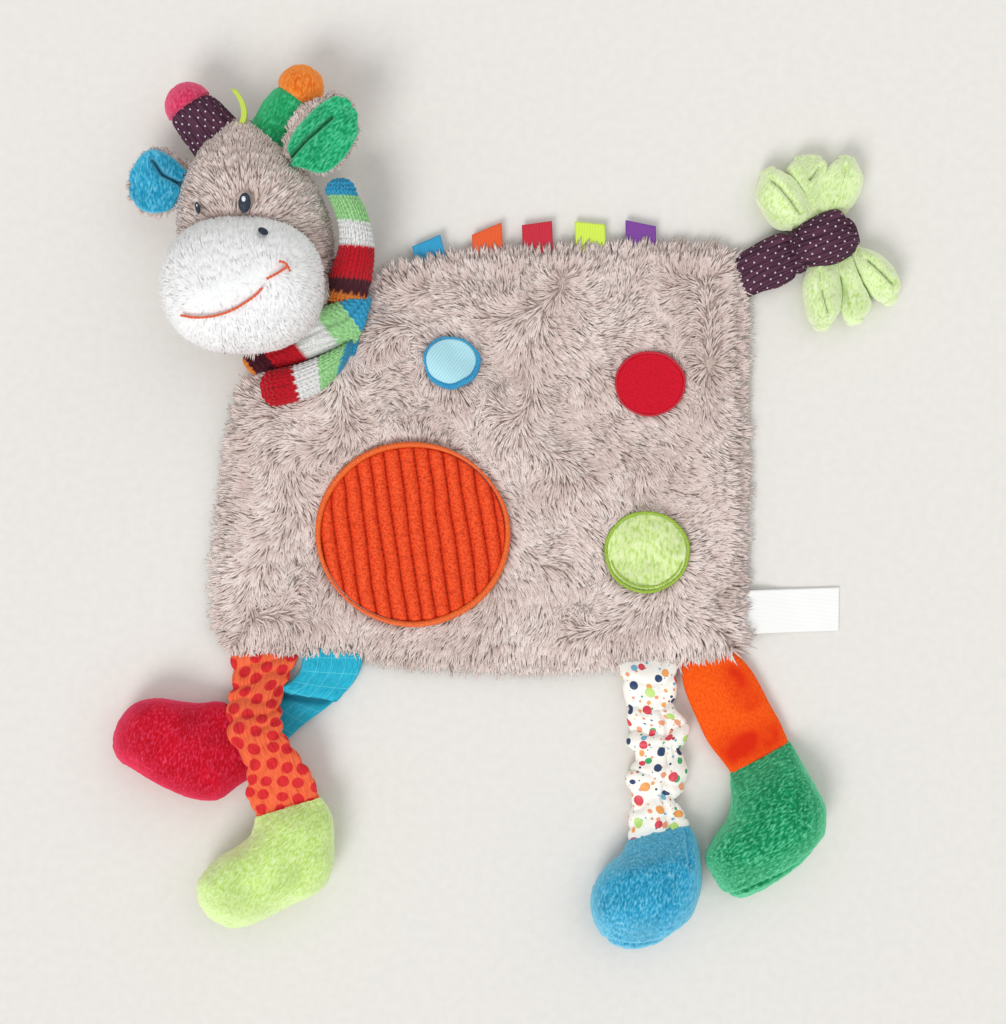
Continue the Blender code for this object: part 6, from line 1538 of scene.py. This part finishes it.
def make_tail():
    """The plum strap and the band that holds six stuffed loops, each loop creased down its middle. Tables
    are in millimetres from the middle of the tail's seam."""
    origin = np.array(JOINTS["tail_swing"]["pos_m"][:2])
    on_tail = lambda table: stations_at(origin, 0.001, 0.001, 0.001, 0, table)
    strap = on_tail((
        (-5.4, 12.4, 1.2, -4.3, 2.0, 5.1), (2.1, 17.9, 8.7, -1.5, 0.4, 8.4),
        (10.7, 22.9, 17.2, 1.1, 0.4, 9.2),
        (21.8, 25.8, 27.3, 7.1, 0.8, 12.5),
    ))
    points = loft(rounded(strap, 0.003, 3), 100, 100, 2.6)
    v = cloth_places(points)[1][:, :-1]
    height = 0.0004 * lumps(points, 0.006, 91)
    height -= 0.0014 * bell(v - v.max() * 0.90 - 0.001 * lumps(points, 0.006, 90), 0.0014)
    piece("tail_strap_cotton", tube("tail_strap_cotton", pressed_out(points, height), flat=points),
          PLUM_COTTON, "tail",
          ("tail_strap",))
    band = on_tail((
        (21.8, 25.8, 26.4, 8.5, 2.0, 16.0), (28.3, 30.4, 34.9, 8.8, 0.5, 18.0),
        (36.2, 33.9, 43.4, 11.5, 0.5, 19.0), (41.4, 34.4, 48.0, 14.7, 1.0, 18.0),
        (44.4, 31.0, 50.1, 18.6, 2.0, 15.0),
    ))
    points = loft(rounded(rounded(band, 0.0022, 5)[::-1], 0.0022, 5)[::-1], 90, 130, 2.6)
    folds = origin + np.array(((24.4, 20.2), (29.6, 21.5), (46.0, 26.6))) * 0.001
    edge = origin + np.array(((21.8, 24.2), (24.9, 17.9), (26.9, 9.8))) * 0.001
    height = -0.0016 * bell(off_line(points, folds), 0.0008) + 0.0006 * bell(off_line(points, folds), 0.0030)
    height = (height - 0.0012 * bell(off_line(points, edge), 0.0012)) * ease((points[..., 2] - 0.006) / 0.003)
    height = height + 0.0004 * lumps(points, 0.006, 93)
    piece("tail_band_cotton", tube("tail_band_cotton", pressed_out(points, height), flat=points), PLUM_COTTON,
          "tail",
          ("tail_wrap_band",))
    loops = (
        ("upper_middle", (
            (29.0, 33.6, 34.2, 33.6, 2.0, 10.0), (26.0, 42.2, 34.9, 42.2, 0.3, 13.0),
            (21.3, 49.0, 36.3, 49.0, 0.3, 13.5), (18.8, 53.1, 36.7, 54.6, 0.3, 12.5),
            (21.8, 56.9, 35.2, 57.2, 1.0, 10.5),
        ), ((33.7, 53.9), (30.9, 50.0), (28.3, 47.4))),
        ("upper_left", (
            (21.8, 25.1, 31.9, 33.6, 3.0, 11.0), (14.3, 26.6, 28.3, 40.7, 0.3, 14.0),
            (7.9, 33.1, 23.1, 47.3, 0.3, 15.0), (5.1, 41.2, 17.9, 51.2, 0.3, 14.5),
            (6.6, 49.0, 14.3, 53.0, 1.5, 12.0),
        ), ((11.0, 47.1), (13.9, 44.8), (18.5, 39.5), (23.1, 33.6))),
        ("upper_right", (
            (33.6, 33.0, 44.0, 31.7, 3.0, 12.0), (32.8, 40.8, 48.9, 37.6, 0.3, 14.5),
            (33.7, 48.7, 52.2, 44.1, 0.3, 15.0), (37.8, 54.6, 52.7, 49.9, 0.3, 14.5),
            (41.7, 57.2, 49.6, 55.4, 1.5, 12.0),
        ), ((44.2, 53.4), (43.7, 48.0), (41.1, 40.8), (38.1, 35.6))),
        ("lower_middle", (
            (41.1, 11.1, 48.3, 12.7, 3.0, 11.0), (43.0, 2.2, 51.9, 4.2, 0.3, 13.0),
            (43.4, -5.6, 55.5, -3.7, 0.3, 14.0), (43.5, -11.5, 56.8, -8.9, 0.3, 13.5),
            (45.3, -15.1, 53.5, -13.5, 1.5, 11.0),
        ), ((43.7, 4.2), (44.7, -5.0), (46.9, -12.0))),
        ("lower_left", (
            (27.7, 8.5, 41.4, 11.1, 3.0, 12.0), (25.8, 2.2, 43.0, 2.2, 0.3, 14.5),
            (26.4, -5.6, 43.5, -5.6, 0.3, 15.0), (27.7, -12.2, 42.4, -11.5, 0.3, 14.5),
            (30.9, -16.7, 38.5, -16.4, 1.5, 12.0),
        ), ((32.9, 6.5), (33.2, -1.0), (36.6, -11.8))),
        ("lower_right", (
            (48.0, 14.0, 51.9, 17.9, 3.0, 11.0), (51.2, 6.8, 60.4, 14.7, 0.3, 14.0),
            (54.5, -0.4, 66.3, 8.8, 0.3, 15.0), (58.4, -5.0, 69.4, 1.6, 0.3, 14.5),
            (62.4, -6.8, 68.4, -3.0, 1.5, 12.0),
        ), ((53.5, 12.1), (59.7, 6.5), (65.1, 1.1))),
    )
    for number, (name, table, slit) in enumerate(loops):
        stations = on_tail(table)
        points = loft(rounded(rounded(stations, 0.003, 3)[::-1], 0.0026, 8, 0.75)[::-1], 80, 76, 2.2)
        off = off_line(points, origin + np.array(slit) * 0.001)
        upper = ease((points[..., 2] - 0.006) / 0.003)
        height = (0.0012 * bell(off, 0.0035) - 0.0040 * bell(off, 0.0009)) * upper
        height = height + 0.00025 * lumps(points, SMALL_PILE, 94 + number)
        height = height + 0.0004 * lumps(points, 0.007, 104 + number)
        piece("tail_" + name + "_loop", tube("tail_" + name + "_loop", pressed_out(points, height)),
              TAIL_LIME, "tail",
              ("tail_loop_" + name,))


# ------------------------------------------------------------------ table, light and camera
def make_stage():
    """A pale table under soft light from above and the left, and a camera that looks straight down."""
    points = np.array([(-1.5, -1.5, 0), (1.5, -1.5, 0), (1.5, 1.5, 0), (-1.5, 1.5, 0)], float)
    mesh = bpy.data.meshes.new("table")
    mesh.from_pydata(points.tolist(), [], [(0, 1, 2, 3)])
    mesh.materials.append(plain_material("pale_matt_table", "E4E1DC", "E7E4DF", 0.9, 0.004, 0.00001))
    table = bpy.data.objects.new("table", mesh)
    bpy.context.scene.collection.objects.link(table)
    world = bpy.data.worlds.new("room")
    bpy.context.scene.world = world
    world.use_nodes = True
    world.node_tree.nodes["Background"].inputs["Color"].default_value = linear("FFFFFF")
    world.node_tree.nodes["Background"].inputs["Strength"].default_value = 0.60
    for name, energy, angle, turn in (
        ("window", 1.55, 0.5, (math.radians(38), math.radians(-24), 0)),
        ("far_wall", 0.5, 1.2, (math.radians(-30), math.radians(35), 0)),
    ):
        lamp = bpy.data.lights.new(name, "SUN")
        lamp.energy, lamp.angle = energy, angle
        made = bpy.data.objects.new(name, lamp)
        made.rotation_euler = turn
        bpy.context.scene.collection.objects.link(made)
    camera = bpy.data.cameras.new("overhead")
    camera.sensor_fit, camera.sensor_width = "HORIZONTAL", 36
    camera.lens = 36 * 0.9 / 0.4527
    made = bpy.data.objects.new("overhead", camera)
    made.location = (-0.00296, -0.00008, 0.9)
    bpy.context.scene.collection.objects.link(made)
    bpy.context.scene.camera = made
    bpy.context.scene.view_settings.view_transform = "Standard"


make_body()
make_spots()
make_tabs()
make_legs()
make_head()
make_ears()
make_horns()
make_scarf()
make_tail()
make_stage()
